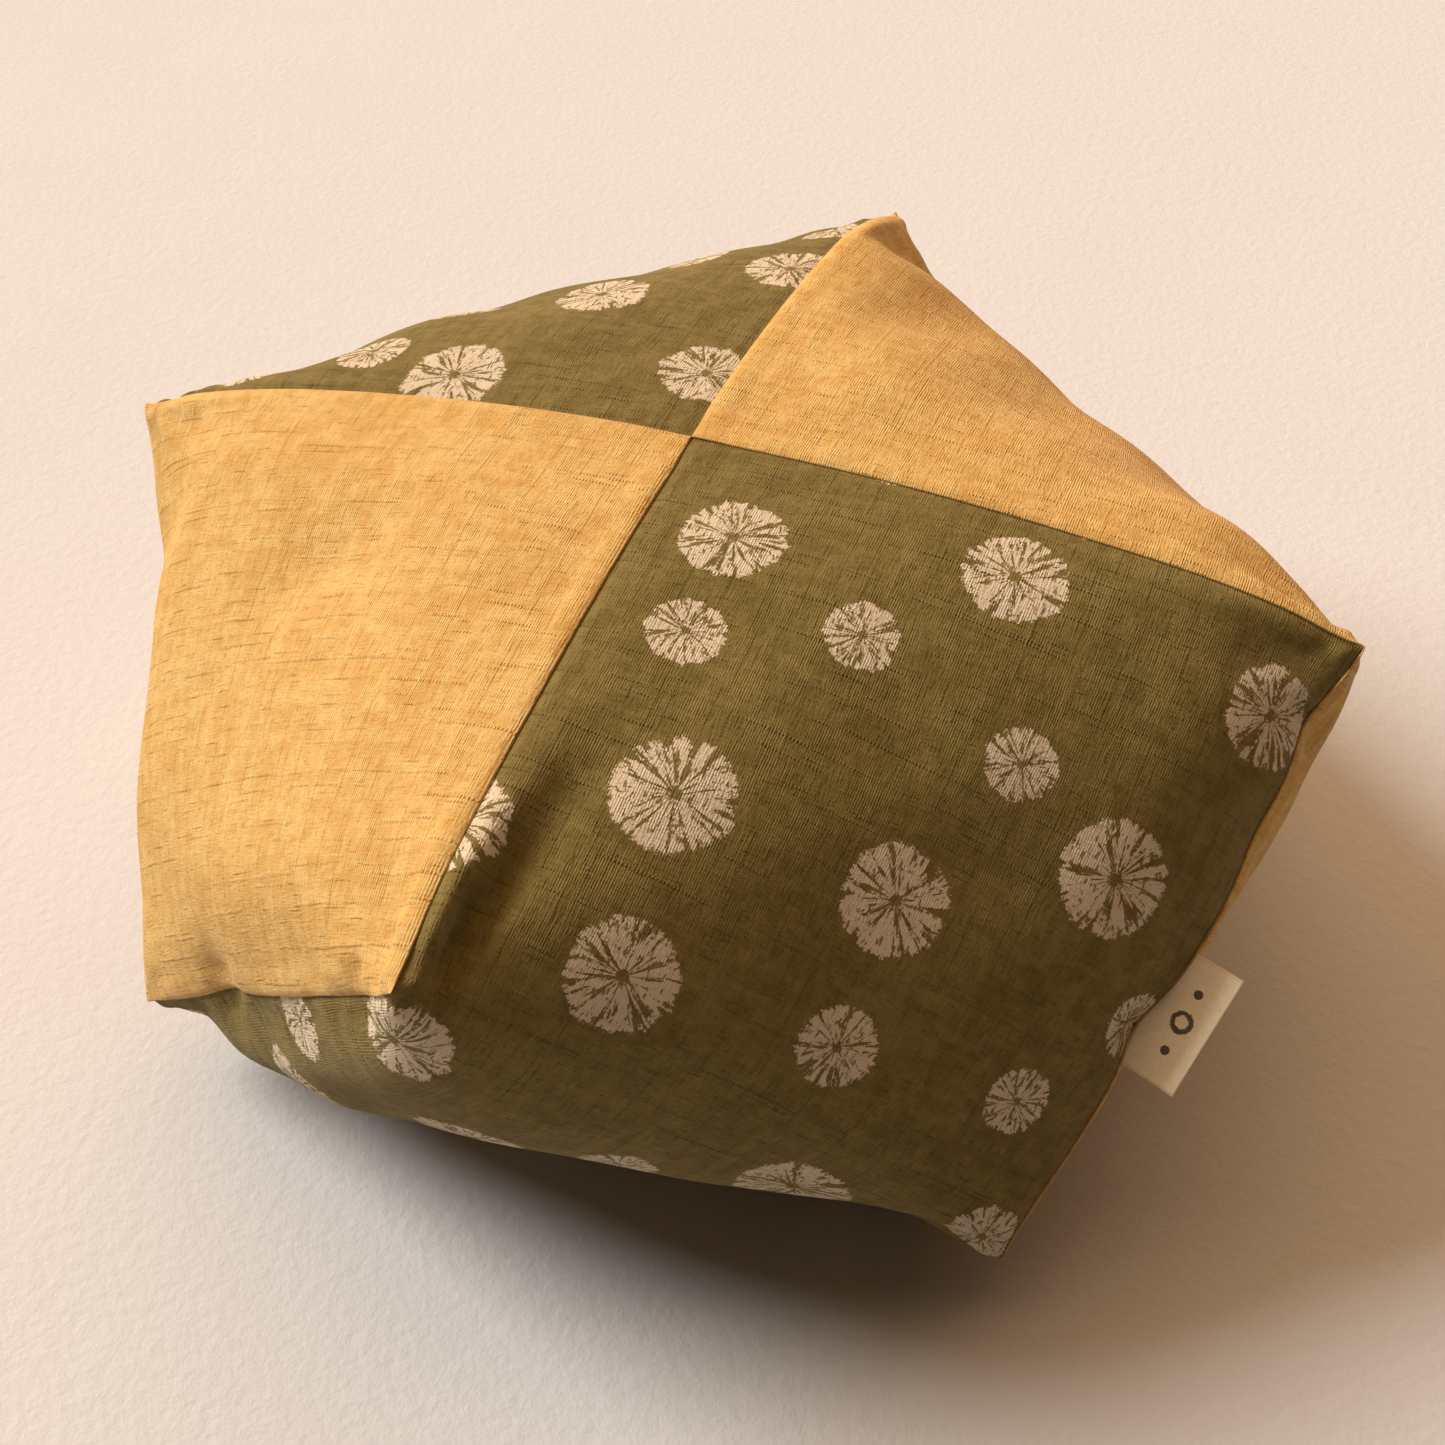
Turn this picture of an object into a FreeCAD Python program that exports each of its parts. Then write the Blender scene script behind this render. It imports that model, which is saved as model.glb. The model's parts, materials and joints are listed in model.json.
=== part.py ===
"""A stuffed floor cushion sewn from four oblong cloth panels.

Each panel is twice as long as it is wide. The short side of one is sewn to half of the long side of the
next, so the closed casing is a square antiprism: four pointed corners round the top, four round the
underside, turned by an eighth of a turn. Each face is cloth bent one way over the wadding, so the casing
is the common volume of cylinders, one for each face, and the floor flattens the middle of its underside.

The origin is the middle of the resting patch, with +Z up. Angles are in degrees anticlockwise from +X.
Upper corner 0 stands at 45 degrees, and lower corner 0, which its side seam runs down to, at 0 degrees.
"""

import FreeCAD, Part

import math
import os

from FreeCAD import Matrix, Placement, Rotation, Vector

SIZES = {
    # casing
    "corner_reach": 246.0,        # from the vertical axis to each of the eight corners
    "lower_corner_height": 34.5,  # of the lower corners over the floor
    "side_height": 158.0,         # from the lower corners up to the upper ones
    "crown_rise": 34.5,           # from the upper corners up to the middle of the top
    "floor_press": 5.0,           # how much of the rounded underside the floor flattens
    "side_bulge": 3.0,            # how far a side swells between its edge and its corner
    "cloth_thickness": 0.8,
    # wadding
    "wadding_gap": 0.9,           # between the cloth and the wadding, where the seams run
    "corner_wad_depth": 42.0,     # from a corner of the casing to the flat back of its wad
    "sheet_count": 6.0,           # wadding sheets that share the room inside
    "wadding_split": 0.2,         # between pieces of wadding that lie on each other
    # seams
    "thread_diameter": 0.5,
    "seam_end_gap": 7.0,          # a seam's thread stops this far short of a corner or a crossing
    "closing_length": 110.0,      # the stretch of one seam underneath that is closed by hand
    "closing_pitch": 5.0,
    "closing_bite": 1.1,          # how far a hand stitch reaches to each side of its seam
    # label
    "label_length": 46.0,         # along the seam
    "label_width": 20.0,          # out from the seam
    "label_ply": 0.35,            # one layer of the folded ribbon
    "label_fold_gap": 0.3,        # between its two layers
    "label_clearance": 0.9,       # from the seam to the line that the label turns about
    "label_drop": 12.0,           # of the label's middle, below halfway down its side seam
}
PANEL_NAMES = ["print_panel_right", "plain_panel_back", "print_panel_left", "plain_panel_front"]
UPPER_CORNERS = ["upper_back_right", "upper_back_left", "upper_front_left", "upper_front_right"]
LOWER_CORNERS = ["lower_right", "lower_back", "lower_left", "lower_front"]
QUARTER = 90.0
EIGHTH = 45.0
FAR = 3.0                         # how many times the corner reach a cutting solid spans
LABEL_SEAM = 0                    # the side seam that holds the label
CLOSING_SEAM = 1                  # the underside seam that is closed by hand

doc = FreeCAD.newDocument("floor_cushion")
sizes = doc.addObject("Spreadsheet::Sheet", "Sizes")
for row, (alias, number) in enumerate(SIZES.items(), start=1):
    sizes.set(f"A{row}", alias)
    sizes.set(f"B{row}", str(number))
    sizes.setAlias(f"B{row}", alias)
doc.recompute()


def size(alias):
    """A driving dimension, read back from the sheet."""
    return float(sizes.get(alias))


def bind(item, rules):
    """Ties an object's properties to the sheet."""
    for name, rule in rules.items():
        item.setExpression(name, rule)
    return item


# The casing's form, which follows from the driving dimensions.
FORM = {
    "half_edge": "Sizes.corner_reach / sqrt(2)",
    "middle_height": "Sizes.lower_corner_height + Sizes.side_height / 2",
    "crown_height": "Sizes.lower_corner_height + Sizes.side_height + Sizes.crown_rise",
    "crown_radius": "(Form.half_edge ^ 2 + Sizes.crown_rise ^ 2) / (2 * Sizes.crown_rise)",
    "keel_rise": "Sizes.lower_corner_height + Sizes.floor_press",
    "keel_radius": "(Form.half_edge ^ 2 + Form.keel_rise ^ 2) / (2 * Form.keel_rise)",
    "side_lean": "Sizes.corner_reach - Form.half_edge",
    "side_slope": "sqrt(Form.side_lean ^ 2 + Sizes.side_height ^ 2)",
    "side_radius": "(Form.side_slope ^ 2 / 4 + Sizes.side_bulge ^ 2) / (2 * Sizes.side_bulge)",
    "side_depth": "Form.side_radius - Sizes.side_bulge",
    "side_axis_reach": "(Sizes.corner_reach + Form.half_edge) / 2"
                       " - Form.side_depth * Sizes.side_height / Form.side_slope",
    "side_axis_drop": "Form.side_depth * Form.side_lean / Form.side_slope",
    "span": f"{FAR} * Sizes.corner_reach",
}
form = doc.addObject("App::VarSet", "Form")
for name, rule in FORM.items():
    form.addProperty("App::PropertyFloat", name)
    form.setExpression(name, rule.replace("Form.", ""))
doc.recompute()

MIDDLE = Vector(0, 0, form.middle_height)
CROWN = Vector(0, 0, form.crown_height)
KEEL = Vector(0, 0, 0)
UPPER_HEIGHT = form.crown_height - size("crown_rise")
THREAD_INSET = size("cloth_thickness") + size("wadding_gap") / 2


def at_angle(angle, reach, height):
    """The point at a direction and a distance from the vertical axis."""
    turn = math.radians(angle)
    return Vector(reach * math.cos(turn), reach * math.sin(turn), height)


def upper_angle(index):
    return EIGHTH + QUARTER * index


def lower_angle(index):
    return QUARTER * index


def upper_corner(index):
    return at_angle(upper_angle(index), size("corner_reach"), UPPER_HEIGHT)


def lower_corner(index):
    """The lower corner that the side seam of upper corner index runs down to."""
    return at_angle(lower_angle(index), size("corner_reach"), size("lower_corner_height"))


# ---- the casing's skins: the same form at three depths, for the cloth's two sides and the wadding

def face_cylinder(name, facing, radius, axis_reach, axis_height):
    """A long level cylinder whose round side makes the face that looks towards an angle."""
    cylinder = doc.addObject("Part::Cylinder", name)
    along = at_angle(facing + QUARTER, 1, 0)
    cylinder.Placement = Placement(Vector(), Rotation(Vector(0, 0, 1), along))
    return bind(cylinder, {
        "Radius": radius,
        "Height": "Form.span",
        "Placement.Base.x": f"({axis_reach}) * cos({facing} deg) + Form.span / 2 * sin({facing} deg)",
        "Placement.Base.y": f"({axis_reach}) * sin({facing} deg) - Form.span / 2 * cos({facing} deg)",
        "Placement.Base.z": axis_height,
    })


def skin(name, inset):
    """The casing's closed form, moved inwards by an inset."""
    faces = []
    for turn in range(2):
        faces.append(face_cylinder(
            f"{name}_top_{turn}", lower_angle(turn), f"Form.crown_radius - ({inset})",
            "0", "Form.crown_height - Form.crown_radius"))
        faces.append(face_cylinder(
            f"{name}_underside_{turn}", upper_angle(turn), f"Form.keel_radius - ({inset})",
            "0", "Form.keel_radius - Sizes.floor_press"))
    for turn in range(4):
        faces.append(face_cylinder(
            f"{name}_upper_side_{turn}", lower_angle(turn), f"Form.side_radius - ({inset})",
            "Form.side_axis_reach", "Form.middle_height - Form.side_axis_drop"))
        faces.append(face_cylinder(
            f"{name}_lower_side_{turn}", upper_angle(turn), f"Form.side_radius - ({inset})",
            "Form.side_axis_reach", "Form.middle_height + Form.side_axis_drop"))
    faces.append(slab(f"{name}_over_floor", inset, "Form.span"))
    common = doc.addObject("Part::MultiCommon", name)
    common.Shapes = faces
    return common


def slab(name, base, height):
    """A level slab, wider than the casing."""
    box = doc.addObject("Part::Box", name)
    return bind(box, {
        "Length": "2 * Form.span",
        "Width": "2 * Form.span",
        "Height": height,
        "Placement.Base.x": "-Form.span",
        "Placement.Base.y": "-Form.span",
        "Placement.Base.z": base,
    })


def boolean(kind, name, base, tool):
    item = doc.addObject(kind, name)
    item.Base = base
    item.Tool = tool
    return item


def plain(name, shape):
    """A piece whose shape is worked out here, because no primitive or feature makes it."""
    item = doc.addObject("Part::Feature", name)
    item.Shape = shape
    return item


pieces = []


def piece(item, label):
    """Names a finished sub-part, which is written to a file of that name."""
    item.Label = label
    pieces.append(item)


# ---- panels

def panel_wedge(index):
    """The part of space behind one panel: a pyramid from the cushion's middle out through its outline."""
    before, after = index - 1, index
    outline = [
        CROWN, upper_corner(before), upper_corner(after),
        lower_corner(before), lower_corner(after), KEEL,
    ]
    crown, upper_before, upper_after, lower_before, lower_after, keel = [
        MIDDLE + (point - MIDDLE) * FAR for point in outline
    ]
    triangles = [
        (crown, upper_before, upper_after),
        (upper_before, lower_after, upper_after),
        (upper_before, lower_before, lower_after),
        (lower_before, keel, lower_after),
        (MIDDLE, upper_before, crown),
        (MIDDLE, lower_before, upper_before),
        (MIDDLE, keel, lower_before),
        (MIDDLE, lower_after, keel),
        (MIDDLE, upper_after, lower_after),
        (MIDDLE, crown, upper_after),
    ]
    faces = [Part.Face(Part.makePolygon([*corners, corners[0]])) for corners in triangles]
    return Part.Solid(Part.Shell(faces))


outside = skin("outside", "0")
inside = skin("inside", "Sizes.cloth_thickness")
shell = boolean("Part::Cut", "shell", outside, inside)
for index, label in enumerate(PANEL_NAMES):
    wedge = plain(f"wedge_{index}", panel_wedge(index))
    piece(boolean("Part::Common", f"panel_{index}", shell, wedge), label)

# ---- wadding

WADDING_INSET = "Sizes.cloth_thickness + Sizes.wadding_gap"
filling = skin("filling", WADDING_INSET)


def beyond_corner(corner, depth):
    """The half of space that starts a depth behind a corner and faces it."""
    outwards = (corner - MIDDLE).normalize()
    block = Part.makeBox(form.span, form.span, form.span, Vector(-form.span / 2, -form.span / 2, 0))
    block.Placement = Placement(corner - outwards * depth, Rotation(Vector(0, 0, 1), outwards))
    return block


corner_room = []
corners = [(name, upper_corner(index)) for index, name in enumerate(UPPER_CORNERS)]
corners += [(name, lower_corner(index)) for index, name in enumerate(LOWER_CORNERS)]
for name, corner in corners:
    depth = size("corner_wad_depth")
    cutter = plain(f"{name}_cutter", beyond_corner(corner, depth))
    piece(boolean("Part::Common", f"{name}_common", filling, cutter), f"{name}_wad")
    corner_room.append(plain(f"{name}_room", beyond_corner(corner, depth + size("wadding_split"))))
all_corners = doc.addObject("Part::MultiFuse", "all_corners")
all_corners.Shapes = corner_room
stack = boolean("Part::Cut", "stack", filling, all_corners)
SHEET_PITCH = f"(Form.crown_height - 2 * ({WADDING_INSET})) / Sizes.sheet_count"
for level in range(int(size("sheet_count"))):
    base = f"{WADDING_INSET} + {level} * {SHEET_PITCH}"
    layer = slab(f"layer_{level}", base, f"{SHEET_PITCH} - Sizes.wadding_split")
    piece(boolean("Part::Common", f"sheet_{level}", stack, layer), f"wadding_sheet_{level + 1}")

# ---- seams: where two faces of a skin meet, at an inset from the casing's outside

def top_seam_point(index, reach, inset):
    """On the seam from the crown to an upper corner."""
    radius = form.crown_radius - inset
    height = form.crown_height - form.crown_radius + math.sqrt(radius ** 2 - reach ** 2 / 2)
    return at_angle(upper_angle(index), reach, height)


def side_seam_point(index, height, inset):
    """On the seam from an upper corner down to the lower corner of the same index."""
    radius = form.side_radius - inset
    over_middle = height - form.middle_height
    from_upper = form.side_axis_reach + math.sqrt(radius ** 2 - (over_middle + form.side_axis_drop) ** 2)
    from_lower = form.side_axis_reach + math.sqrt(radius ** 2 - (over_middle - form.side_axis_drop) ** 2)
    across = (from_lower - from_upper * math.cos(math.radians(EIGHTH))) / math.sin(math.radians(EIGHTH))
    facing = lower_angle(index)
    return at_angle(facing, from_upper, height) + at_angle(facing + QUARTER, across, 0)


def underside_seam_height(reach, inset):
    radius = form.keel_radius - inset
    rounded = form.keel_radius - size("floor_press") - math.sqrt(radius ** 2 - reach ** 2 / 2)
    return max(inset, rounded)


def resting_reach(inset):
    """How far out along a seam the underside lies flat on the floor."""
    radius = form.keel_radius - inset
    return math.sqrt(2 * (radius ** 2 - (radius - size("floor_press")) ** 2))


def underside_seam_point(index, reach, inset):
    return at_angle(lower_angle(index), reach, underside_seam_height(reach, inset))


def arc(first, second, third):
    return Part.Arc(first, second, third).toShape()


BLENDED, MITRED = 0, 1            # how a thread turns where two edges of its path meet


def tube(edges, diameter, turns):
    """A round thread along joined edges."""
    path = Part.Wire(edges)
    start = path.OrderedVertexes[0].Point
    heading = path.OrderedEdges[0].tangentAt(path.OrderedEdges[0].FirstParameter)
    section = Part.Wire(Part.makeCircle(diameter / 2, start, heading))
    return path.makePipeShell([section], True, False, turns)


def thread(name, edges, turns=BLENDED):
    piece(plain(name, tube(edges, size("thread_diameter"), turns)), name)


end_gap = size("seam_end_gap")
seam_stop = size("corner_reach") - end_gap
for index, name in enumerate(UPPER_CORNERS):
    reaches = [end_gap, (end_gap + seam_stop) / 2, seam_stop]
    thread(f"{name}_top_seam", [arc(*[top_seam_point(index, reach, THREAD_INSET) for reach in reaches])])
for index, name in enumerate(UPPER_CORNERS):
    heights = [UPPER_HEIGHT - end_gap, form.middle_height, size("lower_corner_height") + end_gap]
    thread(f"{name}_side_seam", [arc(*[side_seam_point(index, height, THREAD_INSET) for height in heights])])
for index, name in enumerate(LOWER_CORNERS):
    flat_stop = resting_reach(THREAD_INSET)
    start = end_gap
    if index == CLOSING_SEAM:
        start += size("closing_length") + end_gap
    edges = []
    if start < flat_stop:
        flat = [underside_seam_point(index, reach, THREAD_INSET) for reach in (start, flat_stop)]
        edges.append(Part.makeLine(*flat))
    start = max(start, flat_stop)
    reaches = [start, (start + seam_stop) / 2, seam_stop]
    edges.append(arc(*[underside_seam_point(index, reach, THREAD_INSET) for reach in reaches]))
    thread(f"{name}_underside_seam", edges)


def ladder_points():
    """The hand stitches that close the cushion: along one panel's edge, across, and along the other's."""
    side = at_angle(lower_angle(CLOSING_SEAM) + QUARTER, size("closing_bite"), 0)
    points = []
    for rung in range(int(size("closing_length") / size("closing_pitch")) + 1):
        reach = end_gap + rung * size("closing_pitch")
        middle = underside_seam_point(CLOSING_SEAM, reach, THREAD_INSET)
        hand = 1 if rung % 2 == 0 else -1
        points += [middle - side * hand, middle + side * hand]
    return points


ladder = ladder_points()
thread("hand_closing_thread", [Part.makeLine(one, two) for one, two in zip(ladder, ladder[1:])], MITRED)

# ---- label: a ribbon folded in two, its ends held in a side seam, free to turn about the seam

label_height = form.middle_height - size("label_drop")
half_drop = size("label_length") / 2 * size("side_height") / form.side_slope
seam_above = side_seam_point(LABEL_SEAM, label_height + half_drop, 0)
seam_below = side_seam_point(LABEL_SEAM, label_height - half_drop, 0)
seam_at_label = side_seam_point(LABEL_SEAM, label_height, 0)
label_along = (seam_below - seam_above).normalize()
radial = at_angle(lower_angle(LABEL_SEAM) + EIGHTH / 2, 1, 0)
label_outwards = (radial - label_along * radial.dot(label_along)).normalize()
label_across = label_along.cross(label_outwards)
label_root = seam_at_label + label_outwards * size("label_clearance")

ALONG, ACROSS, DOWN = Vector(1, 0, 0), Vector(0, 1, 0), Vector(0, 0, -1)
LABEL_THICKNESS = "(2 * Sizes.label_ply + Sizes.label_fold_gap)"
plies = []
for name, base in (("under_ply", f"-{LABEL_THICKNESS} / 2"), ("over_ply", "Sizes.label_fold_gap / 2")):
    ply = doc.addObject("Part::Box", name)
    plies.append(bind(ply, {
        "Length": "Sizes.label_length",
        "Width": f"Sizes.label_width - {LABEL_THICKNESS} / 2",
        "Height": "Sizes.label_ply",
        "Placement.Base.x": "-Sizes.label_length / 2",
        "Placement.Base.z": base,
    }))
rounds = []
for name, radius in (("fold_outside", f"{LABEL_THICKNESS} / 2"), ("fold_inside", "Sizes.label_fold_gap / 2")):
    half_round = doc.addObject("Part::Cylinder", name)
    half_round.Angle = 180
    half_round.Placement = Placement(Vector(), Rotation(DOWN, ACROSS, ALONG, "ZXY"))
    rounds.append(bind(half_round, {
        "Radius": radius,
        "Height": "Sizes.label_length",
        "Placement.Base.x": "-Sizes.label_length / 2",
        "Placement.Base.y": f"Sizes.label_width - {LABEL_THICKNESS} / 2",
    }))
fold = boolean("Part::Cut", "fold", *rounds)
label = doc.addObject("Part::MultiFuse", "folded_ribbon")
label.Shapes = [*plies, fold]
axes = Matrix()
axes.A11, axes.A21, axes.A31 = label_along
axes.A12, axes.A22, axes.A32 = label_outwards
axes.A13, axes.A23, axes.A33 = label_across
label.Placement = Placement(label_root, Rotation(axes))
piece(label, "label")

# ---- check and write

doc.recompute()
for item in doc.Objects:
    for state in ("Invalid", "Error"):
        if state in item.State:
            raise RuntimeError(f"{item.Name} is {state}")
for item in pieces:
    shape = item.Shape
    if shape.isNull() or not shape.isValid() or not shape.Solids or shape.Volume <= 0:
        raise RuntimeError(f"{item.Label} has no sound solid")

os.makedirs("parts", exist_ok=True)
for item in pieces:
    item.Shape.exportStep(f"parts/{item.Label}.step")
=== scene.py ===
"""Looks of the floor cushion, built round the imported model.

The casing is four oblong cotton panels that wind round each other. Each panel is described flat, in cloth
places: s runs across the panel and t along it, both in metres. Panel i is sewn to panel i + 1, and the sewn
casing is stuffed by a cloth simulation. Everything else is laid out from the stuffed casing: the pressed seam
bands, the wadding packed inside, the rows of stitches in the seams and the label.
"""
import math

import bpy
import json
import numpy as np
from mathutils import Matrix, Vector
from mathutils.bvhtree import BVHTree


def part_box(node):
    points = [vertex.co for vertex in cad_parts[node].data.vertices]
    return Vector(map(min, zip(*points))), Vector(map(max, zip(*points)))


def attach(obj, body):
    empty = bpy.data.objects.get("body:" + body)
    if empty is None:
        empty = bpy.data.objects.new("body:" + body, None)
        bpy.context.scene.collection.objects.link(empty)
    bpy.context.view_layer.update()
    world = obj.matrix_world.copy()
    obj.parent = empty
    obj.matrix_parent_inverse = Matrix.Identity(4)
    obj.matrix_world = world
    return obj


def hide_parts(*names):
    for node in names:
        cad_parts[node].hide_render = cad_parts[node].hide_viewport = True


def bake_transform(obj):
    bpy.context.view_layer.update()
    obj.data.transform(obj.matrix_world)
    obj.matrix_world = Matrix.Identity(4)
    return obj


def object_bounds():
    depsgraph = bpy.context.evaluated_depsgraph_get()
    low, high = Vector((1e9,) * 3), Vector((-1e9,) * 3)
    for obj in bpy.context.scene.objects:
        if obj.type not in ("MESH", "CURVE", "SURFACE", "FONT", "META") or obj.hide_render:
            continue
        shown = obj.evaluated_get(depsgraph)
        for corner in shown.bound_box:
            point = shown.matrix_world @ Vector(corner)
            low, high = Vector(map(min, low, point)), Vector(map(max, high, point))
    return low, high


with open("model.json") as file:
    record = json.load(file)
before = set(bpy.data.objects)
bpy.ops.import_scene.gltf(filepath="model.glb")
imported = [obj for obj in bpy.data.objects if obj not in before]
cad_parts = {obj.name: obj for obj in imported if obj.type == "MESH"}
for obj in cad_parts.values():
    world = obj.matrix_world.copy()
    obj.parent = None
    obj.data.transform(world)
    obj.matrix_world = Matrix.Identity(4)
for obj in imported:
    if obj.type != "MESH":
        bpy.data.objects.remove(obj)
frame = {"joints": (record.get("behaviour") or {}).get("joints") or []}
cad_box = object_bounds()

MM = 0.001
WIDTH = 250 * MM
LENGTH = 500 * MM
CLOTH = 0.8 * MM

PANELS = ("print_panel_right", "plain_panel_back", "print_panel_left", "plain_panel_front")
UPPER_CORNERS = ("upper_back_right", "upper_back_left", "upper_front_left", "upper_front_right")
LOWER_CORNERS = ("lower_right", "lower_back", "lower_left", "lower_front")


def rise(value, start, end):
    """A smooth step from 0 at start to 1 at end."""
    share = np.clip((value - start) / (end - start), 0, 1)
    return share * share * (3 - 2 * share)


# ---------------------------------------------------------------- the sewn and stuffed casing


def folded_casing(cells):
    """The four panels folded into a flat-sided drum: an array [panel, t, s] of points."""
    height = WIDTH * math.sqrt(math.sqrt(2) - 1)
    turn = [math.radians(90 * corner) for corner in range(4)]
    quarter = math.pi / 4
    upper = [np.array((math.cos(a + quarter) * WIDTH, math.sin(a + quarter) * WIDTH, height)) for a in turn]
    lower = [np.array((math.cos(a) * WIDTH, math.sin(a) * WIDTH, 0)) for a in turn]
    crown = np.array((0, 0, height))
    underside = np.zeros(3)
    casing = np.zeros((4, 2 * cells + 1, cells + 1, 3))
    for panel in range(4):
        up, up_before = upper[panel], upper[panel - 1]
        low, low_before = lower[panel], lower[panel - 1]
        for row in range(2 * cells + 1):
            for column in range(cells + 1):
                s, t = column / cells, row / cells
                if s + t <= 1:
                    point = crown + s * (up - crown) + t * (up_before - crown)
                elif t <= 1:
                    point = low + (1 - s) * (up_before - low) + (1 - t) * (up - low)
                elif s + t <= 2:
                    point = up_before + s * (low - up_before) + (t - 1) * (low_before - up_before)
                else:
                    point = underside + (1 - s) * (low_before - underside) + (2 - t) * (low - underside)
                casing[panel, row, column] = point
    return casing


def grid_faces(index):
    """Quads over a grid of vertex numbers [t, s], facing outwards."""
    a, b, c, d = index[:-1, :-1], index[1:, :-1], index[1:, 1:], index[:-1, 1:]
    return np.stack((a, b, c, d), axis=-1).reshape(-1, 4)


def mesh_object(name, points, faces):
    """A new object from points and faces."""
    mesh = bpy.data.meshes.new(name)
    mesh.from_pydata([tuple(p) for p in np.asarray(points).tolist()], [], [tuple(f) for f in faces])
    mesh.update()
    made = bpy.data.objects.new(name, mesh)
    bpy.context.scene.collection.objects.link(made)
    return made


def remove(made):
    """Takes a helper object and its mesh out again."""
    mesh = made.data
    bpy.data.objects.remove(made)
    bpy.data.meshes.remove(mesh)


def stuff(points, faces):
    """Blows the sewn casing up as if stuffed, resting on a floor, and returns the new points."""
    casing = mesh_object("casing_to_stuff", points, faces)
    casing.location.z = 2 * MM
    floor_points = ((-1, -1, 0), (1, -1, 0), (1, 1, 0), (-1, 1, 0))
    floor = mesh_object("floor_under_casing", floor_points, ((0, 1, 2, 3),))
    floor.modifiers.new("Collision", "COLLISION")
    floor.collision.thickness_outer = 1 * MM
    floor.collision.cloth_friction = 20
    cloth = casing.modifiers.new("Cloth", "CLOTH")
    cloth.settings.quality = 5
    cloth.settings.mass = 0.0004
    cloth.settings.tension_stiffness = 60
    cloth.settings.compression_stiffness = 15
    cloth.settings.shear_stiffness = 5
    cloth.settings.bending_stiffness = 2
    cloth.settings.tension_damping = 5
    cloth.settings.compression_damping = 5
    cloth.settings.shear_damping = 5
    cloth.settings.bending_damping = 0.5
    cloth.settings.air_damping = 2
    cloth.settings.use_pressure = True
    cloth.settings.uniform_pressure_force = 5
    cloth.settings.effector_weights.gravity = 0.3
    cloth.collision_settings.use_collision = True
    cloth.collision_settings.distance_min = 1.5 * MM
    cloth.collision_settings.use_self_collision = False
    scene = bpy.context.scene
    scene.frame_start = 1
    scene.frame_end = 30
    cloth.point_cache.frame_start = 1
    cloth.point_cache.frame_end = 30
    for step in range(1, 31):
        scene.frame_set(step)
    solved = casing.evaluated_get(bpy.context.evaluated_depsgraph_get())
    stuffed = np.array([tuple(casing.matrix_world @ v.co) for v in solved.data.vertices])
    remove(casing)
    remove(floor)
    scene.frame_set(1)
    return stuffed


def ease_creases(casing):
    """Relaxes each panel between its seams, so that stuffed cloth has no sharp crease across it."""
    rows, columns = casing.shape[1], casing.shape[2]
    spacing = WIDTH / (columns - 1)
    row, column = np.mgrid[0:rows, 0:columns]
    seam_distance = np.minimum.reduce((row, column, rows - 1 - row, columns - 1 - column)) * spacing
    ease = (rise(seam_distance, 1 * MM, 38 * MM) * 0.5)[None, 1:-1, 1:-1, None]
    passes = int(70 * (6.25 * MM / spacing) ** 2)
    for step in range(2 * passes):
        middle = casing[:, 1:-1, 1:-1]
        around = casing[:, 2:, 1:-1] + casing[:, :-2, 1:-1] + casing[:, 1:-1, 2:] + casing[:, 1:-1, :-2]
        strength = 1 if step % 2 == 0 else -0.94
        casing[:, 1:-1, 1:-1] = middle + strength * ease * (around / 4 - middle)
    return casing


# Seams are eased in pairs of steps: one draws the points together and one lets them out again, almost as far.
EASING_STEPS = 16
DRAWN_IN = 0.5
LET_OUT = -0.47


def ease_seam(line):
    """Takes the small kinks out of seams, given as arrays of points with the corners at both ends."""
    for step in range(EASING_STEPS):
        strength = DRAWN_IN if step % 2 == 0 else LET_OUT
        change = (line[..., 2:, :] + line[..., :-2, :]) / 2 - line[..., 1:-1, :]
        line[..., 1:-1, :] = line[..., 1:-1, :] + strength * change
    return line


def ease_seams(casing):
    """Evens every seam; a seam has the same points in both of its panels, so both stay together."""
    cells = casing.shape[2] - 1
    for side in (0, -1):
        for half in (slice(0, cells + 1), slice(cells, None)):
            casing[:, half, side] = ease_seam(casing[:, half, side].copy())
        casing[:, side] = ease_seam(casing[:, side].copy())
    return casing


def outward_normals(casing, welded):
    """A normal for each grid point, shared along the seams: an array like casing."""
    points = np.zeros((welded.max() + 1, 3))
    points[welded.reshape(-1)] = casing.reshape(-1, 3)
    total = np.zeros_like(points)
    for panel in range(4):
        quads = grid_faces(welded[panel])
        one_way = points[quads[:, 2]] - points[quads[:, 0]]
        other_way = points[quads[:, 3]] - points[quads[:, 1]]
        across = np.cross(one_way, other_way)
        for corner in range(4):
            np.add.at(total, quads[:, corner], across)
    total /= np.linalg.norm(total, axis=1, keepdims=True)
    return total[welded]


def stuffed_casing():
    """The stuffed casing's points and outward normals, both arrays [panel, t, s]."""
    cells = 40
    folded = folded_casing(cells)
    keys = np.round(folded.reshape(-1, 3) / (1e-6)).astype(np.int64)
    first, welded = np.unique(keys, axis=0, return_index=True, return_inverse=True)[1:]
    welded = welded.reshape(folded.shape[:3])
    faces = np.concatenate([grid_faces(welded[panel]) for panel in range(4)])
    stuffed = stuff(folded.reshape(-1, 3)[first], faces.tolist())
    casing = ease_creases(ease_seams(stuffed[welded]))
    casing[..., 2] -= casing[..., 2].min() + 0.3 * MM
    casing[..., 2] = np.maximum(casing[..., 2], 0)
    return casing, outward_normals(casing, welded)


CASING, NORMALS = stuffed_casing()


def spline_weights(share):
    """Weights of the four grid lines round a place, for a smooth curve through them."""
    square, cube = share**2, share**3
    before = (-share + 2 * square - cube) / 2
    here = (2 - 5 * square + 3 * cube) / 2
    after = (share + 4 * square - 3 * cube) / 2
    beyond = (cube - square) / 2
    return before, here, after, beyond


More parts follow.
